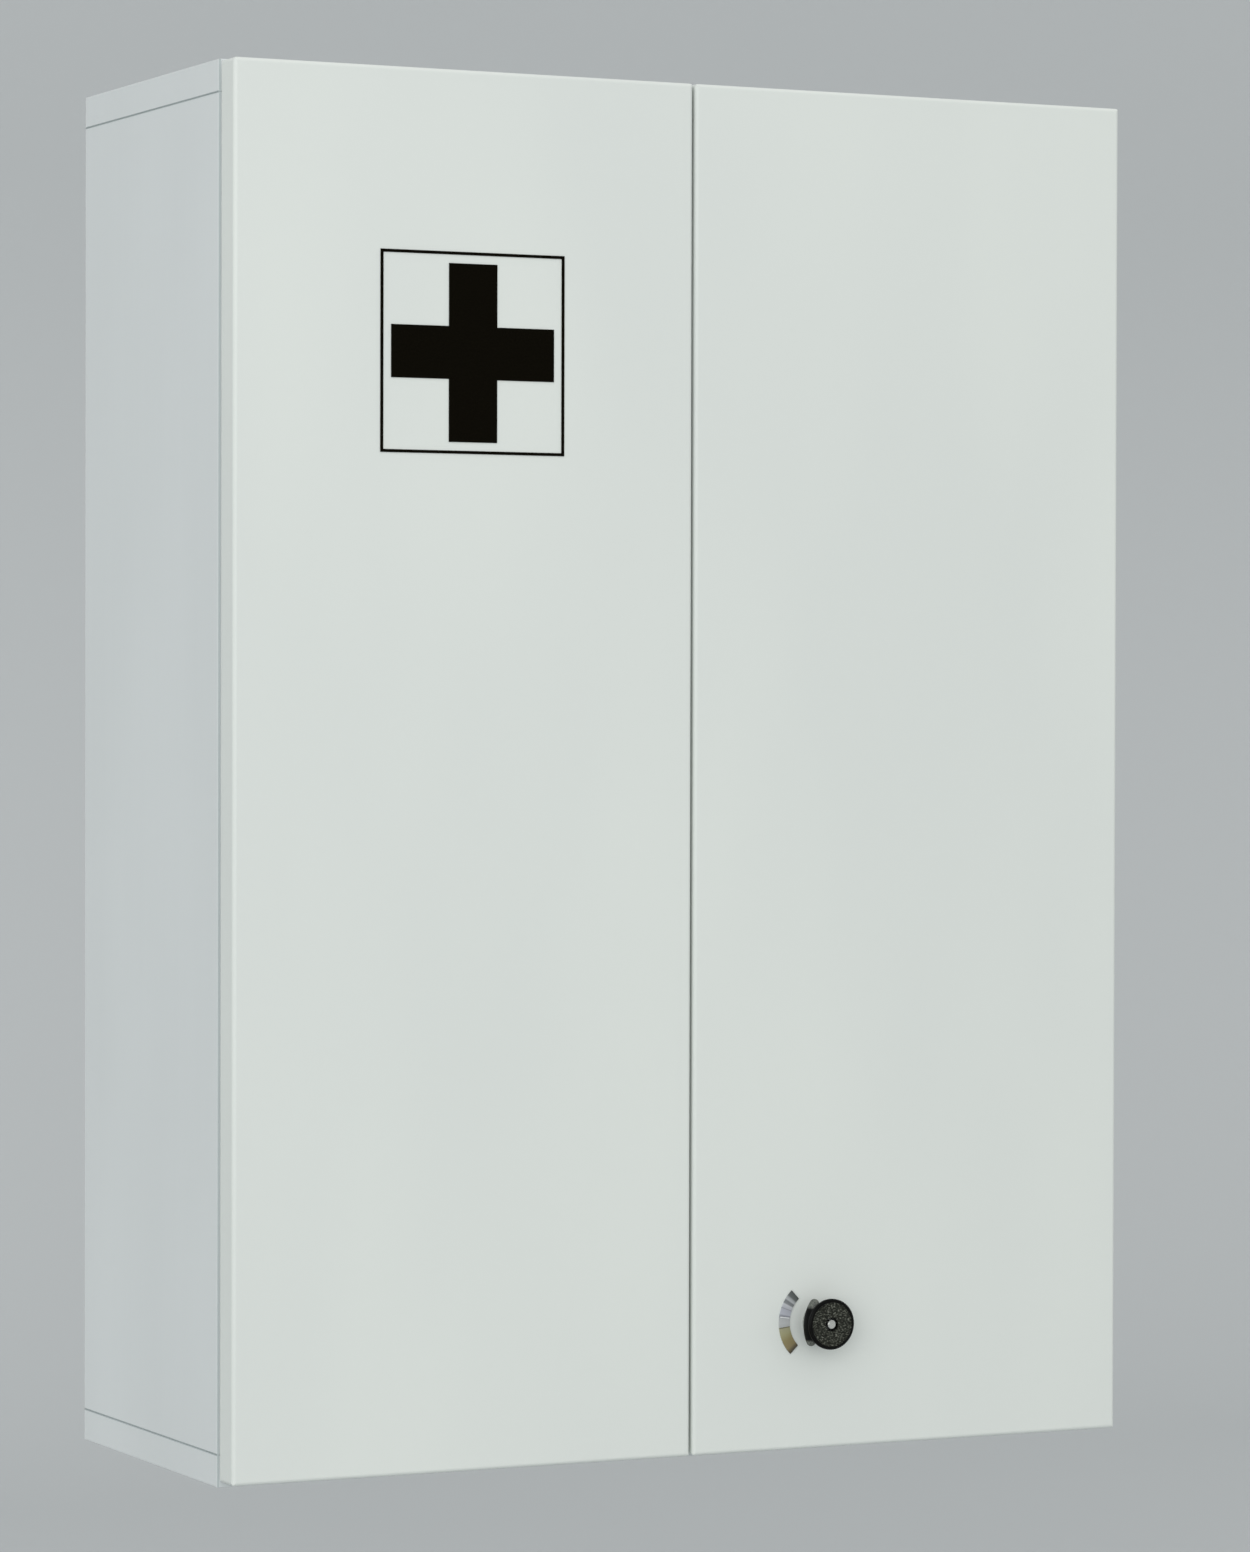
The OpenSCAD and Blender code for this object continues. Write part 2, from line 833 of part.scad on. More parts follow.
module left_door_panel() {
    color("whitesmoke")
        difference() {
            door_blank();
            for (sx = [-1, 1], sz = [0, 1])
                bar_y(-bolt_x + sx * guide_w / 4, bottom_z + housing_h0 + guide_h + 6 + sz * (housing_h - 2 * guide_h - 12),
                      door_back_y - 10, door_back_y + 1, 2.8);
        }
}

module right_door_panel() {
    color("whitesmoke")
        difference() {
            mirror([1, 0, 0])
                door_blank();
            bar_y(lock_x, lock_z, door_front_y - 1, door_back_y + 1, barrel_d + 2 * run_fit);
        }
}

module door_pads(side) {
    color("gainsboro")
        for (z = [bottom_z + bottom_reveal + door_r + bumper_d / 2 + 0.5, top_z - top_reveal - door_r - bumper_d / 2 - 0.5])
            bar_y(side * bumper_x, z, door_back_y, front_y - loose, bumper_d);
}

module left_door_bumpers() {
    door_pads(-1);
}

module right_door_bumpers() {
    door_pads(1);
}

// The sign: a framed cross of thin film on the left door

module sign_frame() {
    color("black")
        translate([-sign_x, door_front_y, sign_z])
            rotate([90, 0, 0])
                linear_extrude(film_t)
                    difference() {
                        square(sign_side, center = true);
                        square(sign_side - 2 * sign_line, center = true);
                    }
}

module sign_cross() {
    color("black")
        translate([-sign_x, door_front_y, sign_z])
            rotate([90, 0, 0])
                linear_extrude(film_t) {
                    square([cross_len, cross_w], center = true);
                    square([cross_w, cross_len], center = true);
                }
}

// Lock on the right door

module lock_barrel() {
    color("silver")
        difference() {
            union() {
                bar_y(lock_x, lock_z, door_front_y - barrel_flange_t, door_front_y, barrel_flange_d);
                bar_y(lock_x, lock_z, door_front_y, barrel_end_y, barrel_d);
            }
            bar_y(lock_x, lock_z, door_front_y - 3, barrel_end_y + 1, spindle_d + 2 * run_fit);
        }
}

module lock_barrel_nut() {
    color("silver")
        difference() {
            translate([lock_x, door_back_y, lock_z])
                rotate([-90, 0, 0])
                    cylinder(d = barrel_d + 9, h = nut_t, $fn = 6);
            bar_y(lock_x, lock_z, door_back_y - 1, door_back_y + nut_t + 1, barrel_d + 2 * fit);
        }
}

// The part of the ring scale between two angles, measured from the middle of the scale, upward positive
module scale_part(a0, a1) {
    translate([lock_x, door_front_y, lock_z])
        rotate([90, 0, 0])
            linear_extrude(scale_t)
                intersection() {
                    difference() {
                        circle(r = scale_ro);
                        circle(r = scale_ri);
                    }
                    polygon([
                        [0, 0],
                        [-2 * scale_ro * cos(a0), 2 * scale_ro * sin(a0)],
                        [-2 * scale_ro, 2 * scale_ro * sin((a0 + a1) / 2)],
                        [-2 * scale_ro * cos(a1), 2 * scale_ro * sin(a1)]
                    ]);
                }
}

module scale_silver_zone() {
    color("silver")
        scale_part(6, scale_up);
}

module scale_centre_block() {
    color("gainsboro")
        scale_part(-6, 6);
}

module scale_brass_zone() {
    color("darkkhaki")
        scale_part(-scale_down, -6);
}

// Outline of the pointer lobe, which is turned about its own length: two long arcs that meet small round tips
module lobe_outline() {
    a = lobe_w / 2;
    b = lobe_h / 2;
    tip = b - lobe_tip_r;
    big = (a * a + tip * tip - lobe_tip_r * lobe_tip_r) / (2 * (a - lobe_tip_r));
    touch = tip * big / (big - lobe_tip_r);
    intersection() {
        translate([big - a, 0])
            circle(r = big, $fn = 180);
        translate([a - big, 0])
            circle(r = big, $fn = 180);
        square([4 * a, 2 * touch], center = true);
    }
    for (s = [-1, 1])
        translate([0, s * tip])
            circle(r = lobe_tip_r);
}

// The knob: a dished front disc with a smooth rim, undercut to a neck, and behind it the lobe that points to the scale
module lock_knob() {
    r = knob_d / 2;
    back = knob_out - barrel_flange_t - 0.3;
    color("black")
        translate([lock_x, knob_front_y, lock_z])
            rotate([-90, 0, 0])
                difference() {
                    union() {
                        rotate_extrude()
                            polygon([
                                [0, knob_dish],
                                [r - knob_rim, knob_dish],
                                [r - knob_rim + 0.3, 0],
                                [r - 0.7, 0],
                                [r, 0.7],
                                [r, 0.7 + knob_edge_t],
                                [r - 1.2, knob_back],
                                [knob_neck_r, knob_back + 0.4],
                                [knob_neck_r, neck_end],
                                [neck_r, neck_end + 1.2],
                                [neck_r, back],
                                [0, back]
                            ]);
                        rotate(lobe_turn)
                            translate([-lobe_x, 0, lobe_depth])
                                rotate([90, 0, 0])
                                    rotate_extrude()
                                        intersection() {
                                            lobe_outline();
                                            translate([0, -lobe_h])
                                                square([lobe_h, 2 * lobe_h]);
                                        }
                    }
                    translate([0, 0, -1])
                        cylinder(d = keyway_d, h = core_back_y - knob_front_y + 1);
                    translate([0, 0, core_back_y - knob_front_y + 0.4])
                        cylinder(d = spindle_d + fit, h = knob_out);
                }
}

module lock_spindle() {
    color("dimgray")
        difference() {
            union() {
                bar_y(lock_x, lock_z, core_back_y + 0.5, tongue_y0, spindle_d);
                span([lock_x - square_w / 2, tongue_y0 - 1, lock_z - square_w / 2],
                     [lock_x + square_w / 2, tongue_y0 + tongue_t, lock_z + square_w / 2]);
            }
            bar_y(lock_x, lock_z, tongue_y0 - 8, tongue_y0 + tongue_t + 1, 4);
        }
}

// The tongue points to the door split while the lock is open
module lock_tongue() {
    tip = tongue_len - tongue_w / 2;
    color("silver")
        translate([lock_x, tongue_y0, lock_z])
            rotate([-90, 0, 0])
                difference() {
                    linear_extrude(tongue_t) {
                        circle(d = tongue_w + 2);
                        translate([-tip, -tongue_w / 2])
                            square([tip, tongue_w]);
                        translate([-tip, 0])
                            circle(d = tongue_w);
                    }
                    translate([-square_w / 2 - fit, -square_w / 2 - fit, -1])
                        cube([square_w + 2 * fit, square_w + 2 * fit, tongue_t + 2]);
                }
}

module lock_tongue_screw() {
    color("gainsboro")
        translate([lock_x, tongue_y0 + tongue_t, lock_z])
            rotate([0, 0, 90])
                screw_x(3.9, 9, 10, 2.2);
}

// The key post in the round keyway, on its own turning base
module key_core() {
    color("gainsboro") {
        bar_y(lock_x, lock_z, core_back_y - 2, core_back_y, keyway_d - 0.4);
        bar_y(lock_x, lock_z, knob_front_y + 0.6, core_back_y - 1, key_post_d);
        bar_y(lock_x, lock_z, knob_front_y + 0.2, knob_front_y + 1, key_post_d - 0.8);
        span([lock_x - 0.4, knob_front_y + 5, lock_z], [lock_x + 0.4, core_back_y - 1, lock_z + key_post_d / 2 + 0.6]);
    }
}

// Strike on the bottom panel, a bent angle whose upright flange stands in front of the locked tongue
module lock_strike() {
    z = bottom_z + board_t;
    y0 = strike_y1 - strike_t;
    long = strike_t + strike_base;
    color("silver")
        difference() {
            intersection() {
                translate([lock_x - strike_w / 2, y0, z])
                    rotate([90, 0, 90])
                        linear_extrude(strike_w)
                            mirror([1, 0])
                                bent_strip(long, strike_h, strike_t, strike_bend_r);
                translate([lock_x, strike_y1 + strike_base + 1, z])
                    rotate([90, 0, 0])
                        linear_extrude(long + 2)
                            translate([0, strike_h / 2 - strike_corner_r])
                                round_rect(strike_w, strike_h + 2 * strike_corner_r, strike_corner_r);
            }
            for (s = [-1, 1])
                bar_z(lock_x + s * strike_w / 4, strike_y1 + 11, z - 1, z + strike_t + 1, 3.8);
        }
}

// A low pan head screw standing upright, its head bearing at z = 0
module screw_z(shank_d, shank_l, head_d, head_h) {
    rotate([0, -90, 0])
        screw_x(shank_d, shank_l, head_d, head_h);
}

module lock_strike_screws() {
    color("gainsboro")
        for (s = [-1, 1])
            translate([lock_x + s * strike_w / 4, strike_y1 + 11, bottom_z + board_t + strike_t])
                screw_z(2.9, 12, 6, 1.6);
}

// Slide bolt of the left door

module bolt_keeper() {
    z = bottom_z + board_t;
    half = bolt_d + 5.5;
    color("silver")
        difference() {
            span([-bolt_x - half, front_y + 1, z], [-bolt_x + half, bolt_y + bolt_hole_d / 2 + 2, z + keeper_t]);
            bar_z(-bolt_x, bolt_y, z - 1, z + keeper_t + 1, bolt_hole_d);
            for (s = [-1, 1])
                bar_z(-bolt_x + s * (bolt_d + 2), bolt_y, z - 1, z + keeper_t + 1, 2.9);
        }
}

module bolt_keeper_screws() {
    color("gainsboro")
        for (s = [-1, 1])
            translate([-bolt_x + s * (bolt_d + 2), bolt_y, bottom_z + board_t + keeper_t])
                screw_z(2.4, 10, 4.6, 1.2);
}

// The housing: a base plate on the door with two arched guides around the bolt
module slide_bolt_housing() {
    z0 = bottom_z + housing_h0;
    reach = bolt_y - door_back_y;
    guide_r = bolt_d / 2 + guide_wall;
    color("silver")
        translate([-bolt_x, door_back_y, z0])
            difference() {
                union() {
                    translate([0, guide_wall, housing_h / 2])
                        rotate([90, 0, 0])
                            linear_extrude(guide_wall)
                                round_rect(guide_w, housing_h, guide_wall);
                    for (dz = [0, housing_h - guide_h])
                        translate([0, 0, dz])
                            linear_extrude(guide_h) {
                                translate([-guide_r, 0])
                                    square([2 * guide_r, reach]);
                                translate([0, reach])
                                    circle(r = guide_r);
                            }
                }
                bar_z(0, reach, -1, housing_h + 1, bolt_d + 2 * run_fit);
                for (sx = [-1, 1], sz = [0, 1])
                    bar_y(sx * guide_w / 4, guide_h + 6 + sz * (housing_h - 2 * guide_h - 12), -1, guide_wall + 1, 3);
            }
}

module slide_bolt_housing_screws() {
    color("gainsboro")
        for (sx = [-1, 1], sz = [0, 1])
            translate([-bolt_x + sx * guide_w / 4, door_back_y + guide_wall,
                       bottom_z + housing_h0 + guide_h + 6 + sz * (housing_h - 2 * guide_h - 12)])
                rotate([0, 0, 90])
                    screw_x(2.7, 11, 4.6, 0.7);
}

module slide_bolt() {
    z0 = bottom_z + bolt_rest_h;
    color("gainsboro")
        difference() {
            union() {
                bar_z(-bolt_x, bolt_y, z0 + 1, z0 + bolt_len, bolt_d);
                translate([-bolt_x, bolt_y, z0])
                    cylinder(d1 = bolt_d - 2, d2 = bolt_d, h = 1);
            }
            bar_y(-bolt_x, bottom_z + grip_h, bolt_y - 1, bolt_y + bolt_d, 3 + 2 * fit);
        }
}

module slide_bolt_grip() {
    color("gainsboro") {
        bar_y(-bolt_x, bottom_z + grip_h, bolt_y - 0.8, bolt_y + bolt_d / 2 + 4, 3);
        bar_y(-bolt_x, bottom_z + grip_h, bolt_y + bolt_d / 2 + 1, bolt_y + bolt_d / 2 + 9, 7);
    }
}

side_panel_left();
side_panel_right();
top_panel();
bottom_panel();
back_panel();
upper_shelf();
lower_shelf();
shelf_pins();
carcass_dowels();
corner_cams();
corner_cam_bolts();
hanging_brackets();
hanging_bracket_screws();
left_hinge_plates();
right_hinge_plates();
hinge_plate_screws();
left_hinge_arms();
right_hinge_arms();
hinge_arm_screws();
lock_strike();
lock_strike_screws();
bolt_keeper();
bolt_keeper_screws();
left_door_panel();
left_hinge_cups();
left_hinge_pins();
left_cup_screws();
sign_frame();
sign_cross();
left_door_bumpers();
slide_bolt_housing();
slide_bolt_housing_screws();
slide_bolt();
slide_bolt_grip();
right_door_panel();
right_hinge_cups();
right_hinge_pins();
right_cup_screws();
right_door_bumpers();
lock_barrel();
lock_barrel_nut();
scale_silver_zone();
scale_centre_block();
scale_brass_zone();
lock_knob();
lock_spindle();
lock_tongue();
lock_tongue_screw();
key_core();
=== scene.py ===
"""Dresses a wall-hung, lockable medicine cabinet with two lacquered doors.

All positions are in metres, in the frame of the cabinet: +X to the right along the front, +Y into the wall, +Z up,
with the origin in the wall plane, midway between the two hanging holes. A name that ends in _mm holds millimetres,
and a height is measured from the underside of the cabinet.
"""

from __future__ import annotations

import json
import logging
import math
from dataclasses import dataclass
from enum import Enum
from typing import Any

import bmesh
import bpy
import numpy as np
from mathutils import Matrix, Vector

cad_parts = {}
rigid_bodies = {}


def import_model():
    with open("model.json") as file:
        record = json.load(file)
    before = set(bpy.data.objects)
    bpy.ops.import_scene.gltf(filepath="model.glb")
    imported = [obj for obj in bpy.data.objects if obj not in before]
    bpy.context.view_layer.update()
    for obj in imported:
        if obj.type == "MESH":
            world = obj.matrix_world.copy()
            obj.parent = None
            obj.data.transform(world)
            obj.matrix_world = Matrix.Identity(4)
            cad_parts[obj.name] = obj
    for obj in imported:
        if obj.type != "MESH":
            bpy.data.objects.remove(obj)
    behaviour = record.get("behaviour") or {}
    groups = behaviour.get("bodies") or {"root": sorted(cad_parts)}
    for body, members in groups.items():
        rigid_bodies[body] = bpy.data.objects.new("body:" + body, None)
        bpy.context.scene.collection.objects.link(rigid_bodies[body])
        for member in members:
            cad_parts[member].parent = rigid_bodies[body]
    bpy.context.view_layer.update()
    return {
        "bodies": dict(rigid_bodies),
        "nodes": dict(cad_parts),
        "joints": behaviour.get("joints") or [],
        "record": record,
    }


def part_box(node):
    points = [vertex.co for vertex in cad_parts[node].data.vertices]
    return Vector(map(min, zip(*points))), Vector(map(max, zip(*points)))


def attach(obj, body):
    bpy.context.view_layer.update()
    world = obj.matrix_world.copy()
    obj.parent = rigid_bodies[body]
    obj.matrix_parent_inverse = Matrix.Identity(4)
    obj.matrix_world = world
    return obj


LOG = logging.getLogger("medicine_cabinet")

MM = 0.001
MM_PER_METRE = 1000.0
HANG_HEIGHT = 640 * MM  # the hanging holes' height
LOCK_X_MM = 72.4
LOCK_HEIGHT_MM = 68.2

Frame = dict[str, Any]
Tree = bpy.types.NodeTree
Node = bpy.types.Node
Socket = bpy.types.NodeSocket
Inputs = dict[str | int, Any]  # what feeds a node's inputs, by their names or indices
Stops = tuple[tuple[float, str], ...]  # positions and hex colours, in rising order

# Blender's class names of the nodes that patterns are made of, and of the one that mixes two shaders
COORDINATES, MAPPING, SEPARATE = "ShaderNodeTexCoord", "ShaderNodeMapping", "ShaderNodeSeparateXYZ"
NOISE, RAMP, RANGE, MATH = "ShaderNodeTexNoise", "ShaderNodeValToRGB", "ShaderNodeMapRange", "ShaderNodeMath"
BUMP, MIX, MIX_SHADERS = "ShaderNodeBump", "ShaderNodeMix", "ShaderNodeMixShader"
# A Mix node has inputs of the same name for numbers and colours, so its share and its two colours go by their index
MIX_SHARE, MIX_FIRST, MIX_SECOND = 0, 6, 7

# A noise: the range in which nearly all of it lies, its octaves, and its own scale where a Mapping node sizes it
LOW, HIGH = 0.35, 0.65
SOFT, CRISP, GRITTY = 2.0, 3.0, 4.0
UNSCALED = 1.0


def above_bottom(height_mm: float) -> float:
    """Turn a height above the cabinet's underside, in millimetres, into a Z of its frame, in metres."""
    return height_mm * MM - HANG_HEIGHT


class Side(Enum):
    """The two doors; the value is the word in the names of a door's nodes."""

    LEFT = "left"
    RIGHT = "right"


# Colour and node helpers


def linear(hex_code: str) -> tuple[float, float, float, float]:
    """Turn an sRGB hex colour into a linear colour with full alpha.

    A share up to 0.04045 is divided by 12.92. A higher one has 0.055 added, is divided by 1.055, and is raised to the
    power 2.4.

    Args:
        hex_code: Colour such as "#D9DDDB".

    Returns:
        Red, green, blue and alpha, each from 0 to 1.
    """
    digits = hex_code.lstrip("#")
    srgb = np.array([int(digits[i : i + 2], 16) for i in (0, 2, 4)]) / 255.0
    values = np.where(srgb <= 0.04045, srgb / 12.92, ((srgb + 0.055) / 1.055) ** 2.4)
    return (float(values[0]), float(values[1]), float(values[2]), 1.0)


def add_node(tree: Tree, kind: str, inputs: Inputs | None = None, stops: Stops = (), **settings: object) -> Node:
    """Add one shader node with its settings, its input values and its links.

    Args:
        tree: Node tree that gets the node.
        kind: Blender's class name of the node.
        inputs: For each input, by name or index, a value, an output socket to link from, or a node whose result is
            linked from.
        stops: For a colour ramp, its positions and hex colours, in rising order.
        **settings: Attributes of the node itself.

    Returns:
        The new node.
    """
    node = tree.nodes.new(kind)
    for name, value in settings.items():
        setattr(node, name, value)
    for key, value in (inputs or {}).items():
        if isinstance(value, Node):
            value = next(output for output in value.outputs if output.enabled)
        if isinstance(value, Socket):
            tree.links.new(value, node.inputs[key])
        else:
            node.inputs[key].default_value = value
    for index, (position, hex_code) in enumerate(stops):
        elements = node.color_ramp.elements
        element = elements[index] if index < len(elements) else elements.new(position)
        element.position = position
        element.color = linear(hex_code)
    return node


def spots(size_mm: float, longer: tuple[float, float, float] = (1.0, 1.0, 1.0)) -> tuple[float, float, float]:
    """Give the spots per metre along X, Y and Z, for spots of size_mm that are so many times longer along each."""
    return (MM_PER_METRE / size_mm / longer[0], MM_PER_METRE / size_mm / longer[1], MM_PER_METRE / size_mm / longer[2])


# Finishes


@dataclass(frozen=True)
class Finish:
    """A plain finish, which the finishes of this cabinet refine.

    Where a pattern varies the sheen, its roughness goes from roughness less smoother to roughness plus rougher. Where
    it has a relief, relief_mm is how deep that is and relief_strength how much of it is seen.
    """

    name: str
    colour: str
    roughness: float
    metallic: float = 0.0
    specular: float = 0.5
    smoother: float = 0.0
    rougher: float = 0.0
    relief_mm: float = 0.01
    relief_strength: float = 0.3

    def material(self) -> bpy.types.Material:
        """Give this finish's material, which is built the first time."""
        return bpy.data.materials.get(self.name) or self.build()

    def build(self) -> bpy.types.Material:
        """Build the material: a Principled shader with the even values on its own sockets, and the pattern's links.

        Returns:
            The finished material.
        """
        material = bpy.data.materials.new(self.name)
        material.use_nodes = True
        material.diffuse_color = linear(self.colour)
        tree = material.node_tree
        tree.nodes.clear()
        even = {
            "Base Color": linear(self.colour),
            "Roughness": self.roughness,
            "Metallic": self.metallic,
            "Specular IOR Level": self.specular,
        }
        place = add_node(tree, COORDINATES).outputs["Object"]
        shader = add_node(tree, "ShaderNodeBsdfPrincipled", even | self.pattern(tree, place))
        add_node(tree, "ShaderNodeOutputMaterial", {"Surface": shader})
        return material

    def pattern(self, tree: Tree, place: Socket) -> Inputs:
        """Build this finish's own pattern from Object coordinates; a plain finish has none."""
        return {}


@dataclass(frozen=True)
class SatinLacquer(Finish):
    """White satin lacquer, sprayed on board.

    The spray leaves a soft orange peel of about a millimetre and a half, and the tone drifts a little over a hand's
    width, which the eye reads as paint and not as plastic. The board under it was sanded upright, in strokes of about
    a finger's width, which still show in its sheen.
    """

    smoother: float = 0.02
    rougher: float = 0.03
    relief_mm: float = 0.02
    relief_strength: float = 0.35
    darker: str = "#D6DBD7"
    lighter: str = "#DADFDA"
    drift_mm: float = 160.0
    drift_taller: float = 2.5
    stroke_mm: float = 9.0
    stroke_taller: float = 30.0
    peel_mm: float = 1.6

    def pattern(self, tree: Tree, place: Socket) -> Inputs:
        """Build the slow drift of tone, the upright sheen of the sanding and the orange peel.

        Args:
            tree: Node tree of the material.
            place: Object coordinates, in metres.

        Returns:
            What feeds the shader's inputs, by their names.
        """
        drift_size = spots(self.drift_mm, (1.0, 1.0, self.drift_taller))
        drift_place = add_node(tree, MAPPING, {"Vector": place, "Scale": drift_size})
        drift = add_node(tree, NOISE, {"Vector": drift_place, "Scale": UNSCALED, "Detail": SOFT})
        stroke_size = spots(self.stroke_mm, (1.0, 1.0, self.stroke_taller))
        stroke_place = add_node(tree, MAPPING, {"Vector": place, "Scale": stroke_size})
        stroke = add_node(tree, NOISE, {"Vector": stroke_place, "Scale": UNSCALED, "Detail": SOFT})
        peel = add_node(tree, NOISE, {"Vector": place, "Scale": MM_PER_METRE / self.peel_mm, "Detail": SOFT})
        sheen = {"Value": stroke, "From Min": LOW, "From Max": HIGH, "To Min": self.roughness - self.smoother}
        relief = {"Height": peel, "Distance": self.relief_mm * MM, "Strength": self.relief_strength}
        return {
            "Base Color": add_node(tree, RAMP, {"Fac": drift}, stops=((LOW, self.darker), (HIGH, self.lighter))),
            "Roughness": add_node(tree, RANGE, sheen | {"To Max": self.roughness + self.rougher}),
            "Normal": add_node(tree, BUMP, relief),
        }


@dataclass(frozen=True)
class JointedLacquer(SatinLacquer):
    """The same lacquer on the carcass, with painted shade in the hairline joints between the boards.

    On the outside of the cabinet the painted shade is a fine grey line at each joint's height, where the joint between
    two boards stands in shade, and one in front of front_joint_mm, the shade of the gap where the rounded front edge
    stands behind the door. Only what lies further than outside_mm from the middle, which is the two outer sides, has
    them.
    """

    joint_heights_mm: tuple[float, ...] = (16.0, 684.0)
    joint_half_mm: float = 0.6
    # in front of this Y the rounded front edge of the sides gets the painted shade of the gap behind the door
    front_joint_mm: float = -189.2
    outside_mm: float = 248.9
    # colour of the painted shade in the joints and in the door gap
    joint_shade_colour: str = "#ADB6B6"

    def pattern(self, tree: Tree, place: Socket) -> Inputs:
        """Build the lacquer's own pattern, and paint shade into the joints and the door gap on the two outer sides.

        Args:
            tree: Node tree of the material.
            place: Object coordinates, in metres.

        Returns:
            What feeds the shader's inputs, by their names.
        """
        inputs = super().pattern(tree, place)
        parts = add_node(tree, SEPARATE, {"Vector": place})
        # painted shade: a grey line darkens the door gap at the front and each joint's height, on the two outer sides
        front = {0: parts.outputs["Y"], 1: self.front_joint_mm * MM}
        joint = add_node(tree, MATH, front, operation="LESS_THAN")
        for height in self.joint_heights_mm:
            level = {0: parts.outputs["Z"], 1: above_bottom(height), 2: self.joint_half_mm * MM}
            near = add_node(tree, MATH, level, operation="COMPARE")
            joint = add_node(tree, MATH, {0: joint, 1: near}, operation="MAXIMUM")
        width = add_node(tree, MATH, {0: parts.outputs["X"]}, operation="ABSOLUTE")
        outside = add_node(tree, MATH, {0: width, 1: self.outside_mm * MM}, operation="GREATER_THAN")
        line = add_node(tree, MATH, {0: joint, 1: outside}, operation="MULTIPLY")
        blend = {MIX_SHARE: line, MIX_FIRST: inputs["Base Color"], MIX_SECOND: linear(self.joint_shade_colour)}
        return inputs | {"Base Color": add_node(tree, MIX, blend, data_type="RGBA")}


@dataclass(frozen=True)
class FacedHardboard(Finish):
    """White faced hardboard: a thin printed skin over pressed fibre, almost even and quite matt.

    A single fibre is too fine to show, so the pattern has the width of a bundle of them.
    """

    darker: str = "#D0D5D3"
    lighter: str = "#D4D8D6"
    bundle_mm: float = 1.4
    bundle_longer: float = 3.0

    def pattern(self, tree: Tree, place: Socket) -> Inputs:
        """Build the pressed fibre that shows faintly through the skin.

        Args:
            tree: Node tree of the material.
            place: Object coordinates, in metres.

        Returns:
            What feeds the shader's inputs, by their names.
        """
        size = spots(self.bundle_mm, (self.bundle_longer, 1.0, 1.0))
        lying = add_node(tree, MAPPING, {"Vector": place, "Scale": size})
        fibre = add_node(tree, NOISE, {"Vector": lying, "Scale": UNSCALED, "Detail": GRITTY})
        relief = {"Height": fibre, "Distance": self.relief_mm * MM, "Strength": self.relief_strength}
        return {
            "Base Color": add_node(tree, RAMP, {"Fac": fibre}, stops=((LOW, self.darker), (HIGH, self.lighter))),
            "Normal": add_node(tree, BUMP, relief),
        }


@dataclass(frozen=True)
class Beech(Finish):
    """Raw turned beech: warm, with dark flecks just under a millimetre wide along the grain."""

    relief_mm: float = 0.04
    relief_strength: float = 0.5
    darker: str = "#B08A5C"
    lighter: str = "#CDA878"
    fleck_mm: float = 0.9
    fleck_longer: float = 12.0

    def pattern(self, tree: Tree, place: Socket) -> Inputs:
        """Build the flecks, which also stand a little proud.

        Args:
            tree: Node tree of the material.
            place: Object coordinates, in metres.

        Returns:
            What feeds the shader's inputs, by their names.
        """
        size = spots(self.fleck_mm, (1.0, 1.0, self.fleck_longer))
        upright = add_node(tree, MAPPING, {"Vector": place, "Scale": size})
        flecks = add_node(tree, NOISE, {"Vector": upright, "Scale": UNSCALED, "Detail": CRISP})
        relief = {"Height": flecks, "Distance": self.relief_mm * MM, "Strength": self.relief_strength}
        return {
            "Base Color": add_node(tree, RAMP, {"Fac": flecks}, stops=((LOW, self.darker), (HIGH, self.lighter))),
            "Normal": add_node(tree, BUMP, relief),
        }


@dataclass(frozen=True)
class BlackFilm(Finish):
    """Cut black vinyl film: nearly even, with the faint pebble of a calendered sheet.

    A real pebble is about 0.2 mm, which is too fine to show, so it is drawn four times as coarse.
    """

    darker: str = "#080601"
    lighter: str = "#0E0B05"
    pebble_mm: float = 0.8

    def pattern(self, tree: Tree, place: Socket) -> Inputs:
        """Build the faint pebble of the film.

        Args:
            tree: Node tree of the material.
            place: Object coordinates, in metres.

        Returns:
            What feeds the shader's inputs, by their names.
        """
        pebble = add_node(tree, NOISE, {"Vector": place, "Scale": MM_PER_METRE / self.pebble_mm, "Detail": SOFT})
        relief = {"Height": pebble, "Distance": self.relief_mm * MM, "Strength": self.relief_strength}
        return {
            "Base Color": add_node(tree, RAMP, {"Fac": pebble}, stops=((LOW, self.darker), (HIGH, self.lighter))),
            "Normal": add_node(tree, BUMP, relief),
        }


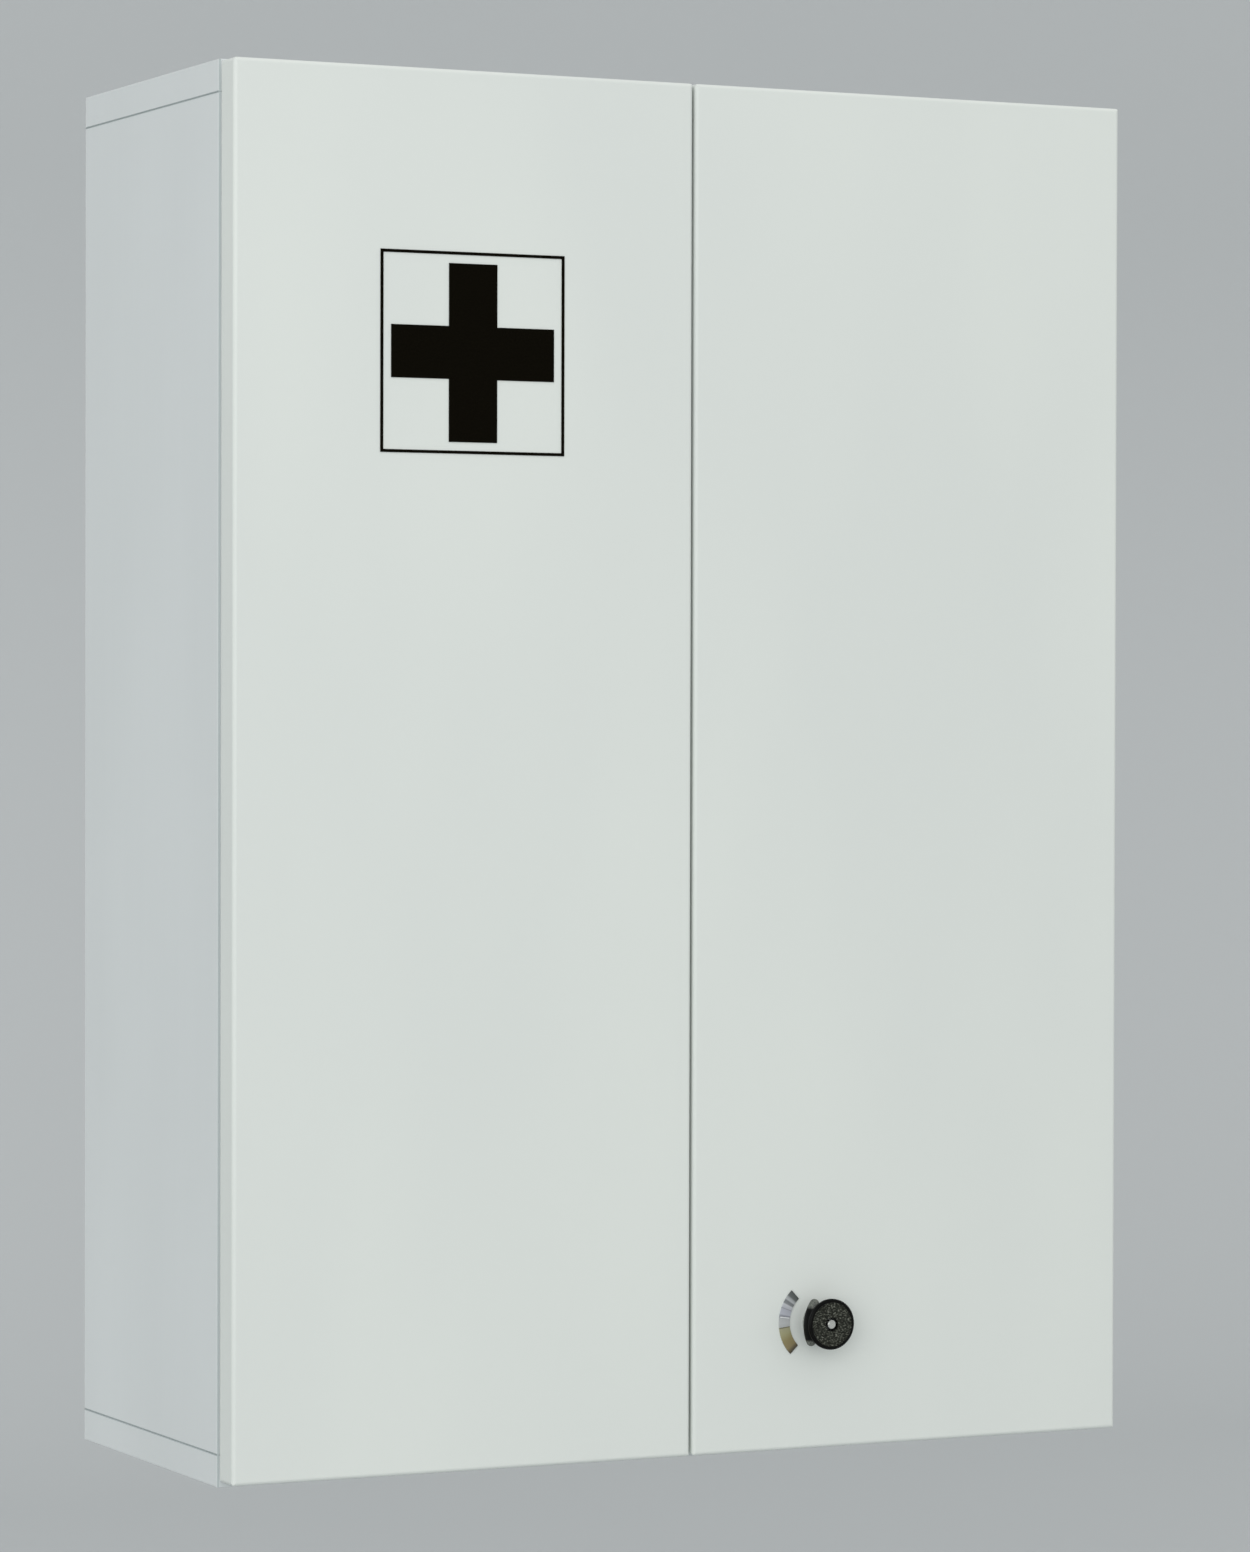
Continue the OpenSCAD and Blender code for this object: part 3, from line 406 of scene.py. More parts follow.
@dataclass(frozen=True)
class GrainedBlack(Finish):
    """Black moulded polyamide: an eroded, greying grain on the front face, and smooth polished rims.

    The face inside the rim is grained, with paler flecks of the glass filler, and the rim and the neck are smooth and
    black. The ends of the pointer lobe, which stand out beyond the disc, are coloured a dull grey as a painted
    highlight of the light they catch. A moulded grain of about 0.2 mm is too fine to show, so the grit and the flecks
    are drawn as coarse as the mottle that the photograph shows.

    Each zone has two lengths, between which it sets in: the face, inward from the rim and back from the front plane;
    the lobe, back from the front plane; and its lit ends with the painted highlight, up and down from the axis.
    """

    smoother: float = 0.12
    rougher: float = 0.1
    relief_mm: float = 0.12
    relief_strength: float = 0.8
    axis_x: float = LOCK_X_MM * MM
    axis_z: float = above_bottom(LOCK_HEIGHT_MM)
    front_y: float = -226.0 * MM
    face_radius_mm: tuple[float, float] = (11.5, 10.9)
    face_depth_mm: tuple[float, float] = (0.75, 0.55)
    lobe_depth_mm: tuple[float, float] = (2.2, 2.6)
    # heights from the axis between which the painted highlight on the lobe's ends sets in
    lobe_lit_mm: tuple[float, float] = (7.8, 9.2)
    grit_mm: float = 0.8
    fleck_mm: float = 0.75
    fleck_longer: tuple[float, float, float] = (1.6, 1.0, 0.9)
    rim_colour: str = "#060605"
    grain_stops: Stops = ((0.38, "#181914"), (0.50, "#2A2C26"), (0.58, "#44463E"), (0.68, "#72746B"))
    # grey colours of the painted highlight on the ends of the pointer lobe
    lit_ends_stops: Stops = ((LOW, "#4B4E4B"), (HIGH, "#73766F"))

    def pattern(self, tree: Tree, place: Socket) -> Inputs:
        """Build the grained face with its flecks, the smooth black rim and the painted highlight on the ends of the
        lobe.

        Each zone is a share from 0 to 1 that rises between the two lengths of its field. The face's share is that of
        its radius times that of its depth, and the share of the lobe's lit ends, which carry the painted highlight,
        that of their height times that of the lobe.

        Args:
            tree: Node tree of the material.
            place: Object coordinates, in metres.

        Returns:
            What feeds the shader's inputs, by their names.
        """
        parts = add_node(tree, SEPARATE, {"Vector": place})
        across = add_node(tree, MATH, {0: parts.outputs["X"], 1: self.axis_x}, operation="SUBTRACT")
        upward = add_node(tree, MATH, {0: parts.outputs["Z"], 1: self.axis_z}, operation="SUBTRACT")
        depth = add_node(tree, MATH, {0: parts.outputs["Y"], 1: self.front_y}, operation="SUBTRACT")
        flat = add_node(tree, "ShaderNodeCombineXYZ", {"X": across, "Y": upward, "Z": 0.0})
        radius = add_node(tree, "ShaderNodeVectorMath", {0: flat}, operation="LENGTH").outputs["Value"]
        height = add_node(tree, MATH, {0: upward}, operation="ABSOLUTE")
        inside, front, behind, ends = (
            add_node(tree, RANGE, {"Value": length, "From Min": zone[0] * MM, "From Max": zone[1] * MM})
            for length, zone in (
                (radius, self.face_radius_mm),
                (depth, self.face_depth_mm),
                (depth, self.lobe_depth_mm),
                (height, self.lobe_lit_mm),
            )
        )
        face = add_node(tree, MATH, {0: inside, 1: front}, operation="MULTIPLY")
        lit_ends = add_node(tree, MATH, {0: ends, 1: behind}, operation="MULTIPLY")
        grit = add_node(tree, NOISE, {"Vector": place, "Scale": MM_PER_METRE / self.grit_mm, "Detail": CRISP})
        lying = add_node(tree, MAPPING, {"Vector": place, "Scale": spots(self.fleck_mm, self.fleck_longer)})
        flecks = add_node(tree, NOISE, {"Vector": lying, "Scale": UNSCALED, "Detail": GRITTY})
        grained = add_node(tree, RAMP, {"Fac": flecks}, stops=self.grain_stops)
        lit_grit = add_node(tree, RAMP, {"Fac": grit}, stops=self.lit_ends_stops)
        # painted highlight: the ends of the pointer lobe, which stand out beyond the disc, are coloured grey for the
        # light they catch
        rim = {MIX_SHARE: lit_ends, MIX_FIRST: linear(self.rim_colour), MIX_SECOND: lit_grit}
        smooth = add_node(tree, MIX, rim, data_type="RGBA")
        rough = add_node(tree, MATH, {0: face, 1: lit_ends}, operation="MAXIMUM")
        grain = add_node(tree, MATH, {0: grit, 1: rough}, operation="MULTIPLY")
        zones = {MIX_SHARE: face, MIX_FIRST: smooth, MIX_SECOND: grained}
        sheen = {"Value": face, "To Min": self.roughness - self.smoother, "To Max": self.roughness + self.rougher}
        relief = {"Height": grain, "Distance": self.relief_mm * MM, "Strength": self.relief_strength}
        return {
            "Base Color": add_node(tree, MIX, zones, data_type="RGBA"),
            "Roughness": add_node(tree, RANGE, sheen),
            "Normal": add_node(tree, BUMP, relief),
        }


@dataclass(frozen=True)
class PlatedSteel(Finish):
    """Pressed or turned steel, plated or oiled: fine drawing lines, and a sheen that drifts in soft clouds.

    Real drawing lines are a few hundredths of a millimetre apart, which is too fine to show, so they are drawn some
    ten times as coarse.
    """

    smoother: float = 0.06
    rougher: float = 0.08
    darker: str = "#CBCDC9"
    lighter: str = "#DADBD6"
    cloud_mm: float = 8.0
    line_mm: float = 0.25
    line_longer: float = 14.0

    def pattern(self, tree: Tree, place: Socket) -> Inputs:
        """Build the clouds of the plating and the drawing lines along the depth.

        Args:
            tree: Node tree of the material.
            place: Object coordinates, in metres.

        Returns:
            What feeds the shader's inputs, by their names.
        """
        cloud = add_node(tree, NOISE, {"Vector": place, "Scale": MM_PER_METRE / self.cloud_mm, "Detail": CRISP})
        drawn = add_node(tree, MAPPING, {"Vector": place, "Scale": spots(self.line_mm, (1.0, self.line_longer, 1.0))})
        lines = add_node(tree, NOISE, {"Vector": drawn, "Scale": UNSCALED, "Detail": SOFT})
        sheen = {"Value": lines, "From Min": LOW, "From Max": HIGH, "To Min": self.roughness - self.smoother}
        relief = {"Height": lines, "Distance": self.relief_mm * MM, "Strength": self.relief_strength}
        return {
            "Base Color": add_node(tree, RAMP, {"Fac": cloud}, stops=((LOW, self.darker), (HIGH, self.lighter))),
            "Roughness": add_node(tree, RANGE, sheen | {"To Max": self.roughness + self.rougher}),
            "Normal": add_node(tree, BUMP, relief),
        }


@dataclass(frozen=True)
class CastZinc(Finish):
    """Die-cast zinc: grey, with a frosty skin, which is drawn two or three times as coarse as it is, to show."""

    relief_mm: float = 0.03
    relief_strength: float = 0.5
    darker: str = "#8C8F90"
    lighter: str = "#ABAEAF"
    frost_mm: float = 0.5

    def pattern(self, tree: Tree, place: Socket) -> Inputs:
        """Build the frosty skin.

        Args:
            tree: Node tree of the material.
            place: Object coordinates, in metres.

        Returns:
            What feeds the shader's inputs, by their names.
        """
        frost = add_node(tree, NOISE, {"Vector": place, "Scale": MM_PER_METRE / self.frost_mm, "Detail": GRITTY})
        relief = {"Height": frost, "Distance": self.relief_mm * MM, "Strength": self.relief_strength}
        return {
            "Base Color": add_node(tree, RAMP, {"Fac": frost}, stops=((LOW, self.darker), (HIGH, self.lighter))),
            "Normal": add_node(tree, BUMP, relief),
        }


@dataclass(frozen=True)
class ClearPad(Finish):
    """Clear soft polyurethane on white lacquer: milky, with small clouds in it."""

    darker: str = "#D4D9D7"
    lighter: str = "#DFE3E1"
    cloud_mm: float = 1.5

    def pattern(self, tree: Tree, place: Socket) -> Inputs:
        """Build the milky clouds from Object coordinates, and give what feeds the shader's inputs."""
        cloud = add_node(tree, NOISE, {"Vector": place, "Scale": MM_PER_METRE / self.cloud_mm, "Detail": SOFT})
        return {"Base Color": add_node(tree, RAMP, {"Fac": cloud}, stops=((LOW, self.darker), (HIGH, self.lighter)))}


@dataclass(frozen=True)
class Enamel(Finish):
    """White enamel filled into a line: bright, with a faint unevenness where it shrank in drying."""

    relief_mm: float = 0.02
    relief_strength: float = 0.4
    darker: str = "#E6E9E8"
    lighter: str = "#F2F4F3"
    hollow_mm: float = 0.4

    def pattern(self, tree: Tree, place: Socket) -> Inputs:
        """Build the faint unevenness.

        Args:
            tree: Node tree of the material.
            place: Object coordinates, in metres.

        Returns:
            What feeds the shader's inputs, by their names.
        """
        hollow = add_node(tree, NOISE, {"Vector": place, "Scale": MM_PER_METRE / self.hollow_mm, "Detail": SOFT})
        relief = {"Height": hollow, "Distance": self.relief_mm * MM, "Strength": self.relief_strength}
        return {
            "Base Color": add_node(tree, RAMP, {"Fac": hollow}, stops=((LOW, self.darker), (HIGH, self.lighter))),
            "Normal": add_node(tree, BUMP, relief),
        }


@dataclass(frozen=True)
class ScaleMetal(Finish):
    """Brushed aluminium or brass of the scale, with bands of painted reflection around the lock axis.

    The colour follows the angle about the lock axis, counted from the middle of the scale and upward, so the bands run
    straight out from the knob as they do on the photographed scale. The bands are angles in degrees and their colours,
    and none lies further than half_span from the middle. Real brushing is a few hundredths of a millimetre wide, which
    is too fine to show, so it is drawn some ten times as coarse.
    """

    bands: Stops = ()
    half_span: float = 48.0
    axis_x: float = LOCK_X_MM * MM
    axis_z: float = above_bottom(LOCK_HEIGHT_MM)
    brush_mm: float = 0.3

    def pattern(self, tree: Tree, place: Socket) -> Inputs:
        """Paint the reflection bands by the angle about the lock axis, and build the fine brushing.

        The angle is the arc tangent of the height above the axis over the distance to its left, and the ramp runs from
        0 at half_span below the middle to 1 at half_span above it.

        Args:
            tree: Node tree of the material.
            place: Object coordinates, in metres.

        Returns:
            What feeds the shader's inputs, by their names.
        """
        parts = add_node(tree, SEPARATE, {"Vector": place})
        across = add_node(tree, MATH, {0: self.axis_x, 1: parts.outputs["X"]}, operation="SUBTRACT")
        upward = add_node(tree, MATH, {0: parts.outputs["Z"], 1: self.axis_z}, operation="SUBTRACT")
        angle = add_node(tree, MATH, {0: upward, 1: across}, operation="ARCTAN2")
        reach = {"From Min": math.radians(-self.half_span), "From Max": math.radians(self.half_span)}
        share = add_node(tree, RANGE, {"Value": angle} | reach)
        brush = add_node(tree, NOISE, {"Vector": place, "Scale": MM_PER_METRE / self.brush_mm, "Detail": SOFT})
        # painted reflection: the bands stand for the highlights and dark reflections that run out across the brushed
        # metal
        stops = tuple((0.5 + degrees / (2 * self.half_span), hex_code) for degrees, hex_code in self.bands)
        relief = {"Height": brush, "Distance": self.relief_mm * MM, "Strength": self.relief_strength}
        return {
            "Base Color": add_node(tree, RAMP, {"Fac": share}, stops=stops),
            "Normal": add_node(tree, BUMP, relief),
        }


# Acid-cured satin lacquer, sprayed on fibreboard: a soft, faintly green white that glints only in broad patches.
WHITE = SatinLacquer("satin_white_lacquer_on_board", "#D8DDDA", 0.42, specular=0.3)
# The same lacquer on the chipboard carcass, a shade cooler and a little darker than on the doors, with painted shade in
# the hairline joints between the boards and in the gap behind the doors.
JOINTED = JointedLacquer(
    "satin_white_lacquer_on_jointed_boards", "#D3D9D9", 0.42, specular=0.3, darker="#D1D6D6", lighter="#D6DBDB"
)
# Printed white paper on pressed hardboard: duller and flatter than the lacquer beside it.
BACK = FacedHardboard("white_faced_hardboard", "#D2D6D4", 0.55, specular=0.3)
# Turned beech, left raw inside the joints: warm, open grain.
BEECH = Beech("raw_beech", "#C09A6A", 0.6)
# Calendered vinyl film, cut and stuck on: a near black with hardly any sheen, so the sign reads flat.
FILM = BlackFilm("black_vinyl_film", "#0B0802", 0.6, specular=0.03)
# Glass-filled black polyamide, moulded: a grained, greying face inside a smooth black rim, with a painted highlight on
# the ends of the pointer lobe.
KNOB = GrainedBlack("grained_black_polyamide", "#1C1D19", 0.5, specular=0.12)
# Pressed steel, nickel plated: bright and slightly warm, with a soft streaky shine.
NICKEL = PlatedSteel("nickel_plated_pressed_steel", "#D3D4CF", 0.28, metallic=1.0)
# Cold-headed screws, bright zinc plated: a cooler, cloudier shine than the nickel.
ZINC = PlatedSteel(
    "bright_zinc_plated_screws", "#D2D6D7", 0.32, metallic=1.0, darker="#C6CACB", lighter="#DCE0E1", line_mm=0.4
)
# Zinc, die cast and left as cast: grey and frosty.
CAST = CastZinc("die_cast_zinc", "#A9ACAD", 0.45, metallic=0.9)
# Plain turned steel with a film of oil: dark and sleek.
STEEL = PlatedSteel(
    "oiled_plain_steel", "#74777A", 0.34, metallic=1.0, darker="#5F6265", lighter="#84878A", line_mm=0.3
)
# Ground and polished steel: the brightest metal here, at the key post and the slide bolt.
BRIGHT = PlatedSteel(
    "polished_steel", "#D6D7D3", 0.2, metallic=0.9, darker="#D0D1CC", lighter="#DEDFDB", line_mm=0.5
)
# Clear cast polyurethane domes: they look milky over the white door.
PAD = ClearPad("clear_soft_polyurethane", "#D8DDDB", 0.3)
# Brushed aluminium with bands of painted reflection: grey steps of painted highlight and painted shade, each a cool,
# even band.
SCALE_SILVER = ScaleMetal(
    "brushed_silver_scale",
    "#A4A9AD",
    0.35,
    metallic=0.2,
    bands=(
        (6.0, "#B9BCBE"),
        (9.0, "#8F9299"),
        (11.5, "#9C9FA7"),
        (12.5, "#BCBFC8"),
        (20.5, "#B4B7C0"),
        (21.2, "#84878C"),
        (22.0, "#B8BBC2"),
        (27.0, "#C6C9CD"),
        (28.6, "#8A8E90"),
        (32.5, "#7A7E80"),
        (34.5, "#B6BABC"),
        (37.5, "#A4A8A9"),
        (40.0, "#676C6B"),
        (46.5, "#525755"),
    ),
)
# Bead-blasted aluminium: the pale, matt block between the two zones.
SCALE_PALE = ScaleMetal(
    "matt_pale_scale_block",
    "#B4B7B7",
    0.45,
    metallic=0.1,
    bands=((-6.0, "#B0B3B2"), (0.0, "#B8BBBB"), (6.0, "#B4B7B7")),
)
# Brass, dulled by handling, with bands of painted reflection: olive where they stand for the light it catches, and
# brown painted shade where it runs out below.
SCALE_BRASS = ScaleMetal(
    "dull_brass_scale",
    "#8F8768",
    0.4,
    metallic=0.2,
    bands=(
        (-44.5, "#3F3A2E"),
        (-40.5, "#6B6048"),
        (-37.0, "#8A7D59"),
        (-26.0, "#93885F"),
        (-16.0, "#A5A27D"),
        (-8.0, "#A7A486"),
        (-6.8, "#6F6C56"),
    ),
)
# Stoving enamel, filled into the index line: the one clean white on the scale.
INDEX_WHITE = Enamel("white_enamel_index_line", "#EEF0EF", 0.35)


# Dressing and building pieces


def dress(frame: Frame, finish: Finish, *nodes: str) -> None:
    """Give CAD nodes one finish.

    Args:
        finish: Finish to use.
        *nodes: Names of the nodes.
    """
    for name in nodes:
        mesh = frame["nodes"][name].data
        mesh.materials.clear()
        mesh.materials.append(finish.material())
        LOG.info("%s: %s", name, finish.name)


def piece(name: str, rings: np.ndarray, finish: Finish, body: str) -> bpy.types.Object:
    """Join rings of points into one closed tube with flat ends, as a piece that rides on a body.

    Each face of the tube joins points j and j + 1 of ring i to points j + 1 and j of ring i + 1, and the first and the
    last ring are closed by one face each.

    Args:
        name: Name of the piece.
        rings: Its points with the shape (rings, points, 3), in millimetres, with Z as a height above the bottom.
        finish: Its finish.
        body: Body that it moves with.

    Returns:
        The piece.
    """
    count, around, _ = rings.shape
    points = (rings * MM - np.array([0.0, 0.0, HANG_HEIGHT])).reshape(-1, 3)
    index = np.arange(count * around).reshape(count, around)
    here, there = index[:-1], index[1:]
    side = np.stack([here, np.roll(here, -1, axis=1), np.roll(there, -1, axis=1), there], axis=2).reshape(-1, 4)
    faces = side.tolist() + [index[0, ::-1].tolist(), index[-1].tolist()]
    mesh = bpy.data.meshes.new(name)
    mesh.from_pydata(points.tolist(), [], faces)
    shell = bmesh.new()
    shell.from_mesh(mesh)
    bmesh.ops.recalc_face_normals(shell, faces=shell.faces)
    shell.to_mesh(mesh)
    shell.free()
    made = bpy.data.objects.new(name, mesh)
    bpy.context.scene.collection.objects.link(made)
    mesh.materials.append(finish.material())
    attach(made, body)
    LOG.info("%s: %d faces, rides on %s", name, len(faces), body)
    return made


# Sub-assemblies


@dataclass
class Carcass:
    """The body of the cabinet: boards, back, shelves and what joins them."""

    boards: tuple[str, ...] = ("side_panel_left", "side_panel_right", "top_panel", "bottom_panel")
    shelves: tuple[str, ...] = ("upper_shelf", "lower_shelf")
    fittings: tuple[str, ...] = ("shelf_pins", "hanging_brackets", "bolt_keeper", "lock_strike")
    screws: tuple[str, ...] = (
        "hanging_bracket_screws",
        "lock_strike_screws",
        "bolt_keeper_screws",
        "hinge_plate_screws",
        "hinge_arm_screws",
    )

    def dress(self, frame: Frame) -> None:
        """Give the carcass its finishes.
        """
        dress(frame, JOINTED, *self.boards)
        dress(frame, WHITE, *self.shelves)
        dress(frame, BACK, "back_panel")
        dress(frame, NICKEL, *self.fittings)
        dress(frame, ZINC, *self.screws)
        dress(frame, BEECH, "carcass_dowels")
        dress(frame, CAST, "corner_cams")
        dress(frame, STEEL, "corner_cam_bolts")


@dataclass
class Door:
    """One lacquered door with its bumpers."""

    side: Side

    def dress(self, frame: Frame) -> None:
        """Give the door its finishes."""
        dress(frame, WHITE, f"{self.side.value}_door_panel")
        dress(frame, PAD, f"{self.side.value}_door_bumpers")


@dataclass
class HingePair:
    """The two single-axis cup hinges of one door."""

    side: Side

    def dress(self, frame: Frame) -> None:
        """Give the hinges their finishes.
        """
        word = self.side.value
        dress(frame, NICKEL, f"{word}_hinge_plates", f"{word}_hinge_arms", f"{word}_hinge_cups")
        dress(frame, STEEL, f"{word}_hinge_pins")
        dress(frame, ZINC, f"{word}_cup_screws")


@dataclass
class Sign:
    """The framed cross on the left door."""

    def dress(self, frame: Frame) -> None:
        """Give the sign its finish."""
        dress(frame, FILM, "sign_frame", "sign_cross")


@dataclass
class KnobLock:
    """The lock of the right door: barrel, knob, key post, tongue and scale.

    Lengths are in millimetres, and angles in degrees above the middle of the scale. The thread is a ridge whose foot
    is sunk into the barrel by thread_sunk. Half its foot is foot_share of the pitch, half its crest is crest_share of
    half its foot, and over run_out turns at each end its height falls to run_out_share of the full one.
    """

    axis_x: float = LOCK_X_MM
    axis_height: float = LOCK_HEIGHT_MM
    barrel_radius: float = 8.0
    thread_from: float = -187.9
    thread_to: float = -185.7
    thread_pitch: float = 0.75
    thread_height: float = 0.285
    thread_sunk: float = 0.12
    foot_share: float = 0.42
    crest_share: float = 0.12
    run_out: float = 0.15
    run_out_share: float = 0.05
    steps_per_turn: int = 72
    index_angle: float = 8.3
    index_width: float = 0.42
    index_from: float = 16.8
    index_to: float = 22.2
    index_proud: float = 0.12
    index_sunk: float = 0.05
    index_steps: int = 9

    def build_thread(self) -> bpy.types.Object:
        """Build the thread that shows on the barrel behind its nut.

        The path is a helix: at the turn t it stands at the barrel's radius, t turns round the axis, and t times the
        pitch behind its start. The section is a low ridge of four points whose height runs out at both ends.

        Returns:
            The thread.
        """
        turns = (self.thread_to - self.thread_from) / self.thread_pitch
        turn = np.linspace(0.0, turns, int(turns * self.steps_per_turn))
        crest = self.thread_height * np.clip(np.minimum(turn, turns - turn) / self.run_out, self.run_out_share, 1.0)
        foot = np.full_like(turn, -self.thread_sunk)
        half = self.foot_share * self.thread_pitch
        along = np.array([-half, -self.crest_share * half, self.crest_share * half, half])
        radius = self.barrel_radius + np.stack([foot, crest, crest, foot], axis=1)
        angle = 2 * math.pi * turn[:, None]
        depth = self.thread_from + self.thread_pitch * turn[:, None] + along[None, :]
        rings = np.stack(
            [self.axis_x + radius * np.cos(angle), depth, self.axis_height + radius * np.sin(angle)], axis=2
        )
        return piece("lock_barrel_thread", rings, NICKEL, "right_door")

    def build_index_line(self) -> bpy.types.Object:
        """Build the white line across the silver zone, at which the pointer lobe stands while the lock is open.

        The line follows a radius of the scale: its points lie from index_from to index_to along it, and half its
        width to either side. It is sunk a little into the metal and stands a little proud of it.

        Returns:
            The line.
        """
        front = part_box("scale_silver_zone")[0][1] / MM
        turn = math.radians(self.index_angle)
        out = np.array([-math.cos(turn), math.sin(turn)])
        aside = np.array([math.sin(turn), math.cos(turn)]) * self.index_width / 2
        lengths = np.linspace(self.index_from, self.index_to, self.index_steps)
        corners = ((-1, self.index_sunk), (-1, -self.index_proud), (1, -self.index_proud), (1, self.index_sunk))
        edges = [
            np.column_stack(
                [
                    self.axis_x + lengths * out[0] + sign * aside[0],
                    np.full_like(lengths, front + depth),
                    self.axis_height + lengths * out[1] + sign * aside[1],
                ]
            )
            for sign, depth in corners
        ]
        return piece("scale_index_line", np.stack(edges, axis=1), INDEX_WHITE, "right_door")

    def dress(self, frame: Frame) -> None:
        """Give the lock its finishes, and build its thread and its index line.
        """
        dress(frame, NICKEL, "lock_barrel", "lock_barrel_nut", "lock_tongue")
        dress(frame, STEEL, "lock_spindle")
        dress(frame, ZINC, "lock_tongue_screw")
        dress(frame, KNOB, "lock_knob")
        dress(frame, BRIGHT, "key_core")
        dress(frame, SCALE_SILVER, "scale_silver_zone")
        dress(frame, SCALE_PALE, "scale_centre_block")
        dress(frame, SCALE_BRASS, "scale_brass_zone")
        self.build_thread()
        self.build_index_line()


@dataclass
class SlideBolt:
    """The inside bolt that holds the left door. Lengths are in millimetres."""

    axis_x: float = -30.0
    axis_y: float = -180.0
    tail_from: float = 84.5
    tail_to: float = 99.5
    tail_radius: float = 3.6
    tail_chamfer: float = 0.8
    points_around: int = 48

    def build_tail(self) -> bpy.types.Object:
        """Build the turned-down tail of the bolt, which keeps it in its upper guide when it is shot.

        It is a profile turned round the bolt's axis: the point at the angle a of a ring stands at the ring's radius
        times the cosine and the sine of a from the axis, at the ring's height. The last ring is the chamfer.

        Returns:
            The tail.
        """
        heights = np.array([self.tail_from, self.tail_to - self.tail_chamfer, self.tail_to])
        radii = np.array([self.tail_radius, self.tail_radius, self.tail_radius - self.tail_chamfer])
        angle = np.linspace(0.0, 2 * math.pi, self.points_around, endpoint=False)
        rings = np.stack(
            [
                self.axis_x + radii[:, None] * np.cos(angle),
                self.axis_y + radii[:, None] * np.sin(angle),
                np.broadcast_to(heights[:, None], (len(heights), self.points_around)),
            ],
            axis=2,
        )
        return piece("slide_bolt_tail", rings, BRIGHT, "bolt")

    def dress(self, frame: Frame) -> None:
        """Give the bolt its finishes, and build its tail.
        """
        dress(frame, NICKEL, "slide_bolt_housing")
        dress(frame, ZINC, "slide_bolt_housing_screws")
        dress(frame, BRIGHT, "slide_bolt", "slide_bolt_grip")
        self.build_tail()


SubAssembly = Carcass | Door | HingePair | Sign | KnobLock | SlideBolt


@dataclass
class Cabinet:
    """The whole cabinet, as its sub-assemblies."""

    parts: tuple[SubAssembly, ...] = (
        Carcass(),
        Door(Side.LEFT),
        Door(Side.RIGHT),
        HingePair(Side.LEFT),
        HingePair(Side.RIGHT),
        Sign(),
        KnobLock(),
        SlideBolt(),
    )

    def dress(self, frame: Frame) -> None:
        """Dress every sub-assembly."""
        for part in self.parts:
            part.dress(frame)


# Studio


@dataclass(frozen=True)
class SoftBox:
    """A square studio lamp: its place, aim and side in metres, and its power in watts."""

    name: str
    place: tuple[float, float, float]
    aim: tuple[float, float, float]
    side: float
    power: float
    colour: str = "#FFFFFF"

    def build(self) -> bpy.types.Object:
        """Make the lamp and turn it to its aim.

        Returns:
            The lamp object.
        """
        lamp = bpy.data.lights.new(self.name, "AREA")
        lamp.shape = "SQUARE"
        lamp.size = self.side
        lamp.energy = self.power
        lamp.color = linear(self.colour)[:3]
        box = bpy.data.objects.new(self.name, lamp)
        bpy.context.scene.collection.objects.link(box)
        box.location = self.place
        box.rotation_euler = (Vector(self.aim) - Vector(self.place)).to_track_quat("-Z", "Y").to_euler()
        return box


